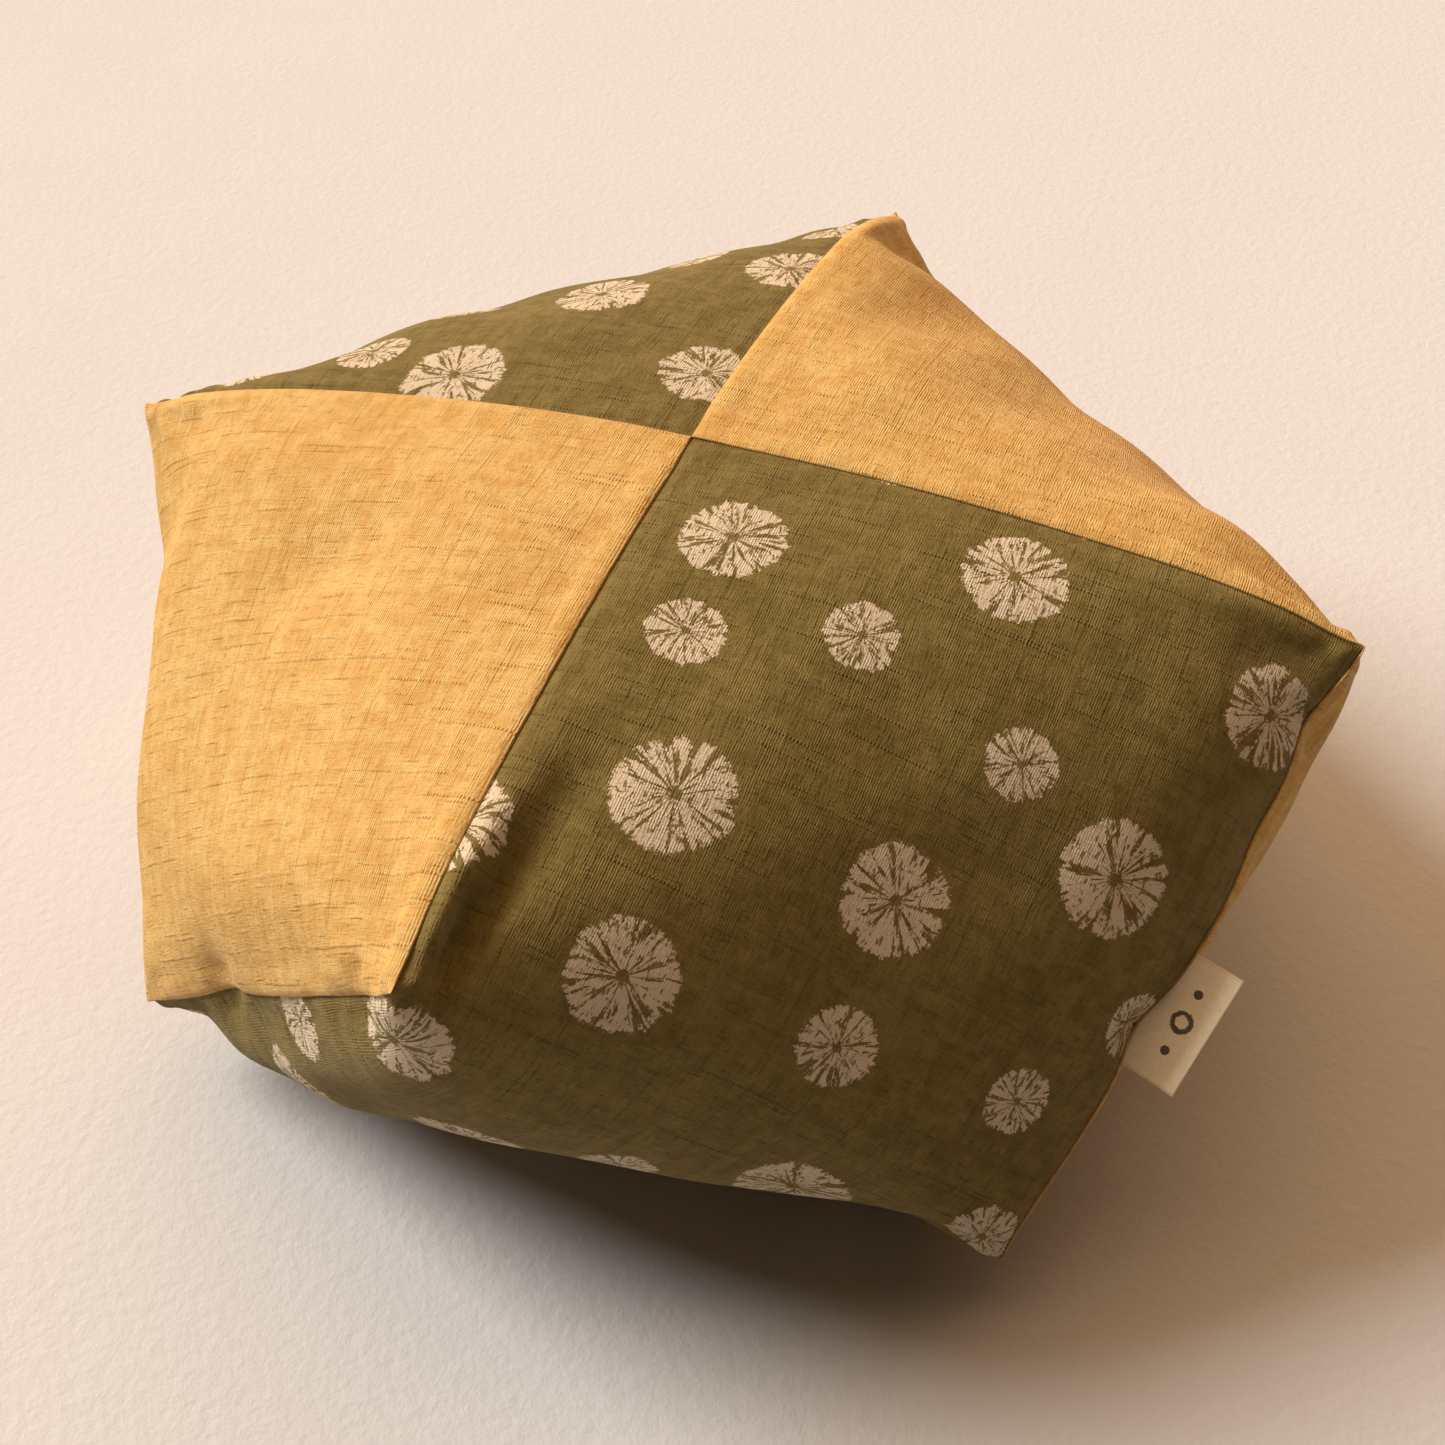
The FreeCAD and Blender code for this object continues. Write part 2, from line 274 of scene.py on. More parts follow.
def widened(grid):
    """The grid with one more line on each side, carried straight on."""
    grid = np.concatenate((2 * grid[:1] - grid[1:2], grid, 2 * grid[-1:] - grid[-2:-1]), axis=0)
    return np.concatenate((2 * grid[:, :1] - grid[:, 1:2], grid, 2 * grid[:, -1:] - grid[:, -2:-1]), axis=1)


WIDE_CASING = [widened(grid) for grid in CASING]
WIDE_NORMALS = [widened(grid) for grid in NORMALS]


def read_grid(grid, s, t):
    """The smooth value of a widened grid at cloth places."""
    columns, rows = grid.shape[1] - 3, grid.shape[0] - 3
    u = np.asarray(s) / WIDTH * columns
    v = np.asarray(t) / LENGTH * rows
    column = np.clip(np.floor(u), 0, columns - 1).astype(int)
    row = np.clip(np.floor(v), 0, rows - 1).astype(int)
    value = 0
    for i, row_weight in enumerate(spline_weights(v - row)):
        for j, column_weight in enumerate(spline_weights(u - column)):
            value = value + grid[row + i, column + j] * (row_weight * column_weight)[..., None]
    return value


# ---------------------------------------------------------------- seams and small folds in the cloth

BAND_WIDTH = 8.0 * MM
BAND_HEIGHT = 0.6 * MM
EDGE_DROP = 1.0 * MM
OVERHANG = 0.8 * MM
PUCKER = 0.3 * MM
UNEVENNESS = 0.9 * MM

# Folds that run out from the corners: start and end as (s, t), half width and height, all in millimetres.
FOLDS = {
    0: (
        ((3, 246), (17, 120), 8, 2.4),
        ((11, 258), (32, 112), 12, -5.5),
        ((246, 4), (190, 40), 10, -1.6),
        ((246, 252), (205, 262), 8, -1.6),
    ),
    1: (
        ((8, 248), (38, 150), 8, -2.0),
        ((246, 4), (150, 34), 9, -0.5),
        ((3, 252), (24, 320), 8, -1.5),
    ),
    2: (
        ((4, 252), (26, 160), 10, -2.2),
        ((246, 4), (196, 34), 9, -1.4),
        ((244, 250), (200, 272), 8, -1.6),
    ),
    3: (
        ((248, 8), (160, 46), 9, -2.4),
        ((248, 34), (196, 66), 8, 1.0),
        ((2, 249), (62, 218), 7, -1.6),
        ((2, 246), (36, 176), 7, -1.3),
        ((4, 254), (40, 320), 9, -1.6),
        ((247, 248), (238, 190), 8, -1.3),
    ),
}


# Where the stuffing swells a panel out or leaves it slack: middle (s, t), radius and height in millimetres.
SWELLS = {
    0: (((65, 315), 75, 6.0), ((48, 415), 78, 12.0)),
    1: (((175, 105), 65, -4.0), ((32, 200), 42, 5.0)),
    2: (((110, 90), 75, 7.0),),
    3: (),
}
TAUT_SEAM = 0
TAUT_LIFT = 8 * MM
TAUT_SPREAD = 38 * MM


def swell(panel, s, t):
    """How far the stuffing pushes the cloth out, away from its seams."""
    total = 0
    inset = np.clip(np.minimum.reduce([side[0] for side in seam_sides(s, t)]), 0, None)
    for middle, radius, height in SWELLS[panel]:
        away = np.hypot(s - middle[0] * MM, t - middle[1] * MM) / (radius * MM)
        total = total + height * MM * np.exp(-(away**2)) * rise(inset, 0, 30 * MM)
    return total


def taut_lift(panel, s, t):
    """The side seam that holds the label is pulled taut between its corners, the same in both its panels."""
    if panel == TAUT_SEAM:
        distance, place = WIDTH - s, t
    elif panel == TAUT_SEAM + 1:
        distance, place = s, t - WIDTH
    else:
        return 0
    share = np.clip(place / WIDTH, 0, 1)
    return TAUT_LIFT * np.sin(math.pi * share) ** 2 * np.exp(-((distance / TAUT_SPREAD) ** 2))


def wave(place, seed, shortest=9 * MM, longest=32 * MM):
    """A smooth uneven line between about -1 and 1."""
    draw = np.random.default_rng(seed)
    total = 0
    for step in range(6):
        length = shortest * (longest / shortest) ** draw.random()
        total = total + np.sin(2 * math.pi * (place / length + draw.random()))
    return total / 3


def fold_height(s, t, start, end, half_width, height):
    """The height of one fold of the cloth at cloth places."""
    start, end = np.array(start) * MM, np.array(end) * MM
    run = end - start
    length = np.linalg.norm(run)
    along = ((s - start[0]) * run[0] + (t - start[1]) * run[1]) / length**2
    aside = np.abs((s - start[0]) * run[1] - (t - start[1]) * run[0]) / length
    spread = half_width * MM * (0.35 + 0.85 * np.clip(along, 0, 1))
    strength = rise(along, 0, 0.22) * (1 - rise(along, 0.3, 1))
    return height * MM * strength * np.exp(-((aside / spread) ** 2))


def seam_sides(s, t):
    """Distance to each side of a panel, with the place along that side."""
    return ((s, t), (WIDTH - s, t), (t, s), (LENGTH - t, s))


CORNER_PLACES = [(s, t) for s in (0, WIDTH) for t in (0, WIDTH, LENGTH)]


def off_corner(s, t):
    """0 at the corners of the cushion and its middles, 1 a little way off them."""
    away = np.minimum.reduce([np.hypot(s - corner_s, t - corner_t) for corner_s, corner_t in CORNER_PLACES])
    return rise(away, 2 * MM, 24 * MM)


def relief(panel, s, t):
    """How far the outer face stands off the plain stuffed shape."""
    plain = panel % 2 == 1
    nearest = np.minimum.reduce([distance for distance, place in seam_sides(s, t)])
    nearest = np.clip(nearest, 0, None)
    total = 0
    for side, (distance, place) in enumerate(seam_sides(s, t)):
        near = np.exp(-np.abs(distance) / (13 * MM)) * rise(distance, 0.5 * MM, 6 * MM)
        total = total + PUCKER * near * wave(place, 10 * panel + side)
    drift = wave(s + 0.6 * t, 50 + panel, 25 * MM, 80 * MM)
    lumps = wave(s + 0.3 * t, 80 + panel, 60 * MM, 140 * MM)
    lumps = lumps + wave(t - 0.4 * s, 90 + panel, 60 * MM, 140 * MM)
    total = total + UNEVENNESS * lumps * rise(nearest, 6 * MM, 45 * MM)
    if plain:
        band = BAND_WIDTH * (1 + 0.1 * drift)
        top = BAND_HEIGHT * (1 + 0.4 * drift) * off_corner(s, t)
        total = total + top * rise(nearest, 0, 2.6 * MM) * (1 - rise(nearest, band - 3 * MM, band + 3 * MM))
        total = total - 0.3 * EDGE_DROP * (1 - rise(nearest, 0, 1.5 * MM))
    else:
        total = total - EDGE_DROP * (1 - rise(nearest, 0.4 * MM, 5.5 * MM + 1 * MM * drift))
    for start, end, half_width, height in FOLDS[panel]:
        total = total + fold_height(s, t, start, end, half_width, height)
    return total + swell(panel, s, t) + taut_lift(panel, s, t)


def cloth_points(panel, s, t, depth=0.0):
    """Points of a panel at cloth places, that far under its outer face."""
    reach = (OVERHANG if panel % 2 == 1 else 0.2 * MM) * off_corner(s, t)

    def shift(distance):
        return reach * (1 - rise(distance, 0, 5 * MM))

    moved_s = s - shift(s) + shift(WIDTH - s)
    moved_t = t - shift(t) + shift(LENGTH - t)
    normal = read_grid(WIDE_NORMALS[panel], s, t)
    normal = normal / np.linalg.norm(normal, axis=-1, keepdims=True)
    outer = read_grid(WIDE_CASING[panel], moved_s, moved_t) + normal * relief(panel, s, t)[..., None]
    pressed_up = np.maximum(0.2 * MM - outer[..., 2], 0)
    points = outer - normal * np.asarray(depth)[..., None]
    points[..., 2] += pressed_up
    return points


def panel_lines(length):
    """Grid lines across a panel, close together near its seams, in metres."""
    close = np.array((0, 0.5, 1.1, 1.8, 2.6, 3.5, 4.5, 5.6, 6.7, 7.8, 8.9, 10, 11.2, 12.6)) * MM
    count = int(round((length - 2 * close[-1]) / (2.1 * MM)))
    middle = np.linspace(close[-1], length - close[-1], count + 1)[1:-1]
    return np.concatenate((close, middle, (length - close)[::-1]))


# The turned-in hem of a panel, from its outer face round to its inner face: (inset, depth) in millimetres.
HEM = (
    (0.0, 0.5),
    (0.3, 1.2),
    (1.0, 1.7),
    (4.0, 1.75),
    (9.0, 1.75),
    (9.5, 1.35),
    (9.0, 1.0),
    (4.0, 0.95),
    (1.4, 0.9),
)


def ring(index):
    """The vertex numbers round the edge of a grid, in order."""
    return np.concatenate((index[0, :-1], index[:-1, -1], index[-1, :0:-1], index[:0:-1, 0]))


def set_cloth_map(made, places):
    """Keeps each vertex's cloth place in a UV map, in metres."""
    layer = made.data.uv_layers.new(name="cloth_place")
    corners = np.zeros(len(made.data.loops), dtype=np.int32)
    made.data.loops.foreach_get("vertex_index", corners)
    layer.data.foreach_set("uv", np.asarray(places)[corners].astype(np.float32).ravel())


def smooth(made):
    """Smooth shading on every face."""
    made.data.polygons.foreach_set("use_smooth", np.ones(len(made.data.polygons), dtype=bool))


def casing_panel(panel):
    """One panel of cloth with its hem turned in, as a closed shell."""
    s, t = np.meshgrid(panel_lines(WIDTH), panel_lines(LENGTH))
    index = np.arange(s.size).reshape(s.shape)
    layers = [cloth_points(panel, s, t).reshape(-1, 3)]
    places = [np.stack((s, t), axis=-1).reshape(-1, 2)]
    faces = [grid_faces(index)]
    edge_s, edge_t = s.reshape(-1)[ring(index)], t.reshape(-1)[ring(index)]
    last = ring(index)
    count = s.size
    for inset, depth in HEM:
        inset_s = inset * MM + edge_s * (1 - 2 * inset * MM / WIDTH)
        inset_t = inset * MM + edge_t * (1 - 2 * inset * MM / LENGTH)
        layers.append(cloth_points(panel, inset_s, inset_t, np.full_like(inset_s, depth * MM)))
        places.append(np.stack((inset_s, inset_t), axis=-1))
        here = count + np.arange(len(edge_s))
        faces.append(np.stack((last, np.roll(last, -1), np.roll(here, -1), here), axis=-1))
        last = here
        count += len(edge_s)
    inner_inset = HEM[-1][0] * MM + 0.4 * MM
    inner_s = inner_inset + s * (1 - 2 * inner_inset / WIDTH)
    inner_t = inner_inset + t * (1 - 2 * inner_inset / LENGTH)
    layers.append(cloth_points(panel, inner_s, inner_t, np.full_like(s, CLOTH)).reshape(-1, 3))
    places.append(np.stack((inner_s, inner_t), axis=-1).reshape(-1, 2))
    inner = count + index
    here = ring(inner)
    faces.append(np.stack((last, np.roll(last, -1), np.roll(here, -1), here), axis=-1))
    faces.append(grid_faces(inner)[:, ::-1])
    made = mesh_object(PANELS[panel] + "_cloth", np.concatenate(layers), np.concatenate(faces).tolist())
    lay = np.concatenate(places)
    if panel % 2 == 1:
        lay = lay + np.array((0.6, 1.1)) * panel
    set_cloth_map(made, lay)
    smooth(made)
    return made


# ---------------------------------------------------------------- wadding

WADDING_DEPTH = 4.5 * MM
CORNER_WAD_DEPTH = 42 * MM


def casing_lining():
    """The room for the wadding: the casing's surface drawn in, ready for rays."""
    points, faces = [], []
    count = 0
    for panel in range(4):
        rows, columns = CASING[panel].shape[:2]
        s, t = np.meshgrid(np.linspace(0, WIDTH, columns), np.linspace(0, LENGTH, rows))
        grid = cloth_points(panel, s, t, np.full_like(s, WADDING_DEPTH))
        index = count + np.arange(grid.shape[0] * grid.shape[1]).reshape(grid.shape[:2])
        points.append(grid.reshape(-1, 3))
        faces.append(grid_faces(index))
        count += index.size
    return BVHTree.FromPolygons(np.concatenate(points).tolist(), np.concatenate(faces).tolist())


LINING = casing_lining()
CORNERS = {}
for number in range(4):
    CORNERS[UPPER_CORNERS[number]] = Vector(CASING[number, 0, -1])
    CORNERS[LOWER_CORNERS[number]] = Vector(CASING[number, (CASING.shape[1] - 1) // 2, -1])
MIDDLE = Vector((0, 0, (cad_box[0][2] + cad_box[1][2]) / 2))


def wadding(name, centre, spread, planes, rings, spokes):
    """A closed lump of wadding round centre that fills the casing as far as the planes let it."""
    softness = 14
    points = []
    for step in range(rings + 1):
        lift = math.pi * (step / rings - 0.5)
        for spoke in range(spokes):
            turn = 2 * math.pi * spoke / spokes
            aim = Vector((math.cos(turn) * math.cos(lift), math.sin(turn) * math.cos(lift), math.sin(lift)))
            aim = Vector((aim.x * spread[0], aim.y * spread[1], aim.z * spread[2]))
            aim.normalize()
            hit = LINING.ray_cast(centre, aim)
            reach = hit[3] if hit[0] is not None else WIDTH
            press = (1 / reach) ** softness
            for on_plane, outwards in planes:
                facing = aim.dot(outwards)
                if facing > 1e-4:
                    press += (facing / (on_plane - centre).dot(outwards)) ** softness
            tuft = 1 + 0.006 * math.sin(9 * turn + 5 * lift) + 0.004 * math.sin(23 * turn - 17 * lift)
            points.append(centre + aim * (press ** (-1 / softness) * tuft * 0.985))
            if step in (0, rings):
                break
    first, last = 0, len(points) - 1

    def number(step, spoke):
        return 1 + (step - 1) * spokes + spoke % spokes

    faces = [(first, number(1, spoke + 1), number(1, spoke)) for spoke in range(spokes)]
    for step in range(1, rings - 1):
        for spoke in range(spokes):
            faces.append((number(step, spoke), number(step, spoke + 1),
                          number(step + 1, spoke + 1), number(step + 1, spoke)))
    faces += [(last, number(rings - 1, spoke), number(rings - 1, spoke + 1)) for spoke in range(spokes)]
    made = mesh_object(name, points, faces)
    smooth(made)
    return made


def corner_cut(corner, gap):
    """The plane that parts a corner wad from the sheets: a point on it and the way to the corner."""
    outwards = (corner - MIDDLE).normalized()
    return corner - outwards * (CORNER_WAD_DEPTH + gap), outwards


def corner_wad(corner_name):
    """The tuft that keeps one corner of the cushion pointed."""
    corner = CORNERS[corner_name]
    on_plane, outwards = corner_cut(corner, -0.6 * MM)
    centre = corner - outwards * CORNER_WAD_DEPTH * 0.72
    return wadding(corner_name + "_wad_tuft", centre, (1, 1, 1), [(on_plane, -outwards)], 28, 40)


def wadding_sheet(number):
    """One level sheet of the wadding, with the corners cut off where the corner wads are."""
    low, high = (Vector(corner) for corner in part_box(f"wadding_sheet_{number}"))
    gap = 0.3 * MM
    planes = [
        (Vector((0, 0, low.z + gap)), Vector((0, 0, -1))),
        (Vector((0, 0, high.z - gap)), Vector((0, 0, 1))),
    ]
    planes += [corner_cut(corner, 0.6 * MM) for corner in CORNERS.values()]
    centre = Vector((0, 0, (low.z + high.z) / 2))
    return wadding(f"wadding_sheet_{number}_batt", centre, (0.22, 0.22, 0.019), planes, 44, 144)


# ---------------------------------------------------------------- threads

STITCH = 2.5 * MM
STRAND = 0.2 * MM
SEAM_DEPTH = 1.5 * MM


def seam_place(side, places):
    """The cloth places (s, t) at places along one of a panel's seams."""
    full, none = np.full_like(places, WIDTH), np.zeros_like(places)
    return {"top": (places, none), "side": (full, places), "underside": (full, WIDTH + places)}[side]


def seam_points(panel, side, places):
    """Points on one of a panel's seams, with the outward normals there."""
    s, t = seam_place(side, places)
    normals = read_grid(WIDE_NORMALS[panel], s, t)
    normals /= np.linalg.norm(normals, axis=1, keepdims=True)
    lift = np.broadcast_to(taut_lift(panel, s, t), places.shape)
    points = read_grid(WIDE_CASING[panel], s, t) + normals * lift[:, None]
    points[:, 2] = np.maximum(points[:, 2], 0.2 * MM)
    return points, normals


def seam_frame(panel, side, places):
    """Points, ways along, outward normals and ways across at places (metres) along one of a panel's seams."""
    places = np.asarray(places)
    points, normals = seam_points(panel, side, places)
    ahead = seam_points(panel, side, places + 1 * MM)[0]
    behind = seam_points(panel, side, places - 1 * MM)[0]
    along = ahead - behind
    along /= np.linalg.norm(along, axis=1, keepdims=True)
    across = np.cross(normals, along)
    across /= np.linalg.norm(across, axis=1, keepdims=True)
    return points, along, normals, across


def tube(path, radius, sides=6):
    """Points and faces of a round thread along a path, closed at both ends."""
    path = np.asarray(path)
    along = np.gradient(path, axis=0)
    along /= np.linalg.norm(along, axis=1, keepdims=True)
    helper = np.array((0.31, 0.52, 0.79))
    first = np.cross(along, helper)
    first /= np.linalg.norm(first, axis=1, keepdims=True)
    second = np.cross(along, first)
    turns = 2 * math.pi * np.arange(sides) / sides
    circle = np.cos(turns)[None, :, None] * first[:, None] + np.sin(turns)[None, :, None] * second[:, None]
    points = (path[:, None] + radius * circle).reshape(-1, 3)
    index = np.arange(len(path) * sides).reshape(len(path), sides)
    after = np.roll(index, -1, axis=1)
    faces = np.stack((index[:-1], after[:-1], after[1:], index[1:]), axis=-1).reshape(-1, 4).tolist()
    faces.append(index[0, ::-1].tolist())
    faces.append(index[-1].tolist())
    return points, faces


def thread_object(name, paths, radius):
    """One object from several lengths of round thread."""
    points, faces = [], []
    count = 0
    for path in paths:
        ring_points, ring_faces = tube(path, radius)
        points.append(ring_points)
        faces += [[corner + count for corner in face] for face in ring_faces]
        count += len(ring_points)
    made = mesh_object(name, np.concatenate(points), faces)
    smooth(made)
    return made


def seam_stitches(name, panel, side):
    """The needle thread and the bobbin thread of one machine-sewn seam, locked together at every stitch."""
    end_gap = 7 * MM
    count = int((WIDTH - 2 * end_gap) / STITCH)
    places = end_gap + np.arange(count * 8 + 1) * STITCH / 8
    points, along, normals, across = seam_frame(panel, side, places)
    phase = (places - end_gap) / STITCH * 2 * math.pi
    line = points - normals * SEAM_DEPTH
    paths = []
    for way in (1, -1):
        swing = way * 0.45 * MM * np.abs(np.sin(phase / 2)) - way * 0.05 * MM
        dip = 0.12 * MM * np.cos(phase)
        paths.append(line + across * swing[:, None] + normals * (way * dip)[:, None])
    return thread_object(name, paths, STRAND)


def hand_closing():
    """The ladder stitch by which the last opening in the underside was closed by hand."""
    pitch = 5 * MM
    bite = 1.3 * MM
    low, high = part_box("hand_closing_thread")
    start, end = WIDTH - high[1], WIDTH - low[1] - 1 * MM
    count = int((end - start) / pitch)
    knots = []
    for rung in range(count + 1):
        way = 1 if rung % 2 == 0 else -1
        place = start + rung * pitch
        knots += [(place, -way * bite, 1.0), (place, -way * bite * 0.8, 0.1), (place, 0, -0.2),
                  (place, way * bite * 0.8, 0.1), (place, way * bite, 1.0)]
        if rung < count:
            knots += [(place + pitch * 0.3, way * bite, 1.35), (place + pitch * 0.7, way * bite, 1.35)]
    knots = np.array(knots)
    fine = np.linspace(0, len(knots) - 1, len(knots) * 4)
    place, aside, depth = (np.interp(fine, np.arange(len(knots)), knots[:, axis]) for axis in range(3))
    points, along, normals, across = seam_frame(1, "underside", place)
    path = points + across * aside[:, None] - normals * (depth * MM)[:, None]
    path[:, 2] = np.maximum(path[:, 2], 0.3 * MM)
    return thread_object("hand_closing_ladder_stitch", [path], 0.25 * MM)


# ---------------------------------------------------------------- label

LABEL_PLACE = 145 * MM
LABEL_LENGTH = 46 * MM
LABEL_REACH = 20.5 * MM
LABEL_TUCK = 5 * MM
PLY = 0.35 * MM


def label_profile(steps=26):
    """The ribbon's middle line from one end in the seam, out round the fold and back: (outwards, aside)."""
    gap = 0.2 * MM
    out = np.linspace(-LABEL_TUCK, LABEL_REACH - 0.4 * MM, steps)
    bulge = gap + 0.12 * MM * np.sin(math.pi * np.clip(out / LABEL_REACH, 0, 1)) ** 2
    turn = np.linspace(math.pi / 2, -math.pi / 2, 9)[1:-1]
    fold = np.stack((out[-1] + 0.4 * MM * np.cos(turn), bulge[-1] * np.sin(turn)), axis=1)
    there = np.stack((out, bulge), axis=1)
    back = np.stack((out, -bulge), axis=1)[::-1]
    return np.concatenate((there, fold, back))


def shell_round(middle, normals, thickness):
    """Points and faces of a closed shell round a grid of points."""
    index = np.arange(middle.shape[0] * middle.shape[1]).reshape(middle.shape[:2])
    upper = (middle + normals * thickness / 2).reshape(-1, 3)
    lower = (middle - normals * thickness / 2).reshape(-1, 3)
    faces = [grid_faces(index), grid_faces(index + index.size)[:, ::-1]]
    here, there = ring(index), ring(index) + index.size
    faces.append(np.stack((here, np.roll(here, -1), np.roll(there, -1), there), axis=-1))
    return np.concatenate((upper, lower)), np.concatenate(faces)


def folded_label():
    """The ribbon label: folded once, with both ends held in the side seam."""
    columns = 47
    offsets = np.linspace(-LABEL_LENGTH / 2, LABEL_LENGTH / 2, columns)
    seam = seam_frame(0, "side", LABEL_PLACE + offsets)[0]
    joint = frame["joints"][0]
    axis = Vector(joint["axis"]).normalized()
    low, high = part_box("label")
    hinge = Vector(joint["pos_m"])
    out = Vector(((low[0] + high[0]) / 2, (low[1] + high[1]) / 2, (low[2] + high[2]) / 2)) - hinge
    out = np.array((out - axis * out.dot(axis)).normalized())
    side = np.cross(np.array(axis), out)
    points = seam.mean(axis=0) + np.array(axis) * offsets[:, None]
    profile = label_profile()
    reach = profile[:, 0][:, None, None]
    aside = profile[:, 1][:, None, None]
    share = np.clip(reach / LABEL_REACH, 0, 1)
    sway = 1.2 * MM * np.sin(offsets / LABEL_LENGTH * 2.2 + 0.4)[None, :, None] * share**2
    middle = points[None] + out * reach + side * (aside + sway)
    run = np.gradient(middle, axis=0)
    width = np.gradient(middle, axis=1)
    facing = np.cross(run, width)
    facing /= np.linalg.norm(facing, axis=2, keepdims=True)
    shell, faces = shell_round(middle, facing, PLY)
    made = mesh_object("folded_label", shell, faces.tolist())
    run_length = np.concatenate(((0,), np.cumsum(np.linalg.norm(np.diff(profile, axis=0), axis=1))))
    lay = np.stack(np.meshgrid(offsets, run_length), axis=-1).reshape(-1, 2)
    set_cloth_map(made, np.concatenate((lay, lay)))
    smooth(made)
    seam_root = points[columns // 2]
    return made, seam_root, seam_root + out * 11 * MM


# ---------------------------------------------------------------- materials


def put(tree, kind, inputs=None, **settings):
    """Adds a node, sets it up and links or fills its inputs."""
    made = tree.nodes.new(kind)
    for key, value in settings.items():
        setattr(made, key, value)
    for key, value in (inputs or {}).items():
        if isinstance(value, bpy.types.NodeSocket):
            tree.links.new(value, made.inputs[key])
        else:
            made.inputs[key].default_value = value
    return made


def calc(tree, operation, *values):
    """A Math node over values and sockets; gives its result."""
    return put(tree, "ShaderNodeMath", dict(enumerate(values)), operation=operation).outputs[0]


def vector_calc(tree, operation, *values):
    """A Vector Math node over vectors; gives its vector result."""
    return put(tree, "ShaderNodeVectorMath", dict(enumerate(values)), operation=operation).outputs[0]


def ramp(tree, value, start, end, low=0.0, high=1.0):
    """A smooth step of a value from low at start to high at end."""
    step = put(tree, "ShaderNodeMapRange",
               {"Value": value, "From Min": start, "From Max": end, "To Min": low, "To Max": high},
               interpolation_type="SMOOTHSTEP")
    return step.outputs["Result"]


def noise(tree, place, scale, detail=2.0, roughness=0.5):
    """A noise value at a place."""
    made = put(tree, "ShaderNodeTexNoise",
               {"Vector": place, "Scale": scale, "Detail": detail, "Roughness": roughness})
    return made.outputs["Fac"]


def joined(tree, x, y, z=0.0):
    """A vector from three values."""
    return put(tree, "ShaderNodeCombineXYZ", {"X": x, "Y": y, "Z": z}).outputs[0]


def parted(tree, vector):
    """The x, y and z of a vector."""
    made = put(tree, "ShaderNodeSeparateXYZ", {"Vector": vector})
    return made.outputs[0], made.outputs[1], made.outputs[2]


def mixed(tree, share, first, second, kind="RGBA", blend="MIX"):
    """A mix of two colours, values or vectors."""
    made = put(tree, "ShaderNodeMix", data_type=kind, blend_type=blend)
    number = {"FLOAT": 2, "VECTOR": 4, "RGBA": 6}[kind]
    for slot, value in ((0, share), (number, first), (number + 1, second)):
        if isinstance(value, bpy.types.NodeSocket):
            tree.links.new(value, made.inputs[slot])
        else:
            made.inputs[slot].default_value = value
    return made.outputs[{"FLOAT": 0, "VECTOR": 1, "RGBA": 2}[kind]]


def new_group(name, inputs, outputs):
    """An empty node group; inputs and outputs are (name, kind, default) and (name, kind)."""
    tree = bpy.data.node_groups.new(name, "ShaderNodeTree")
    for label, kind, default in inputs:
        socket = tree.interface.new_socket(label, in_out="INPUT", socket_type=kind)
        socket.default_value = default
    for label, kind in outputs:
        tree.interface.new_socket(label, in_out="OUTPUT", socket_type=kind)
    return tree, tree.nodes.new("NodeGroupInput").outputs, tree.nodes.new("NodeGroupOutput").inputs


VALUE, VECTOR = "NodeSocketFloat", "NodeSocketVector"


def slub_lines_group():
    """Thick uneven threads lying among the even ones: broken lines, each in its own lane."""
    tree, given, result = new_group(
        "Slub Lines",
        (("Across", VALUE, 0.0), ("Along", VALUE, 0.0), ("Lane Width", VALUE, 0.01),
         ("Thickness", VALUE, 0.0004), ("Dash Length", VALUE, 0.03), ("Amount", VALUE, 0.5)),
        (("Mask", VALUE),),
    )
    lane_place = calc(tree, "DIVIDE", given["Across"], given["Lane Width"])
    lane = calc(tree, "FLOOR", lane_place)
    inside = calc(tree, "FRACT", lane_place)
    draw = put(tree, "ShaderNodeTexWhiteNoise", {"W": lane}, noise_dimensions="1D").outputs["Value"]
    dash = calc(tree, "DIVIDE", given["Along"], given["Dash Length"])
    wander_place = joined(tree, calc(tree, "MULTIPLY", dash, 0.9), calc(tree, "MULTIPLY", lane, 7.3))
    wander = noise(tree, wander_place, 1.0)
    middle = calc(tree, "MULTIPLY_ADD", draw, 0.7, 0.10)
    middle = calc(tree, "MULTIPLY_ADD", wander, 0.10, middle)
    aside = calc(tree, "ABSOLUTE", calc(tree, "SUBTRACT", inside, middle))
    aside = calc(tree, "MULTIPLY", aside, given["Lane Width"])
    present = noise(tree, joined(tree, dash, calc(tree, "MULTIPLY", lane, 3.7), 4.0), 1.0, 3.0, 0.6)
    threshold = calc(tree, "SUBTRACT", 1.0, given["Amount"])
    present = calc(tree, "MULTIPLY", calc(tree, "SUBTRACT", present, threshold), 9.0)
    present = put(tree, "ShaderNodeClamp", {"Value": present}).outputs[0]
    thick_place = joined(tree, calc(tree, "MULTIPLY", dash, 5.0), calc(tree, "MULTIPLY", lane, 2.9), 8.0)
    thick = noise(tree, thick_place, 1.0)
    thick = calc(tree, "MULTIPLY", given["Thickness"], calc(tree, "MULTIPLY_ADD", thick, 1.6, 0.2))
    share = calc(tree, "DIVIDE", aside, thick)
    line = ramp(tree, share, 0.3, 1.3, 1.0, 0.0)
    tree.links.new(calc(tree, "MULTIPLY", line, present), result["Mask"])
    return tree


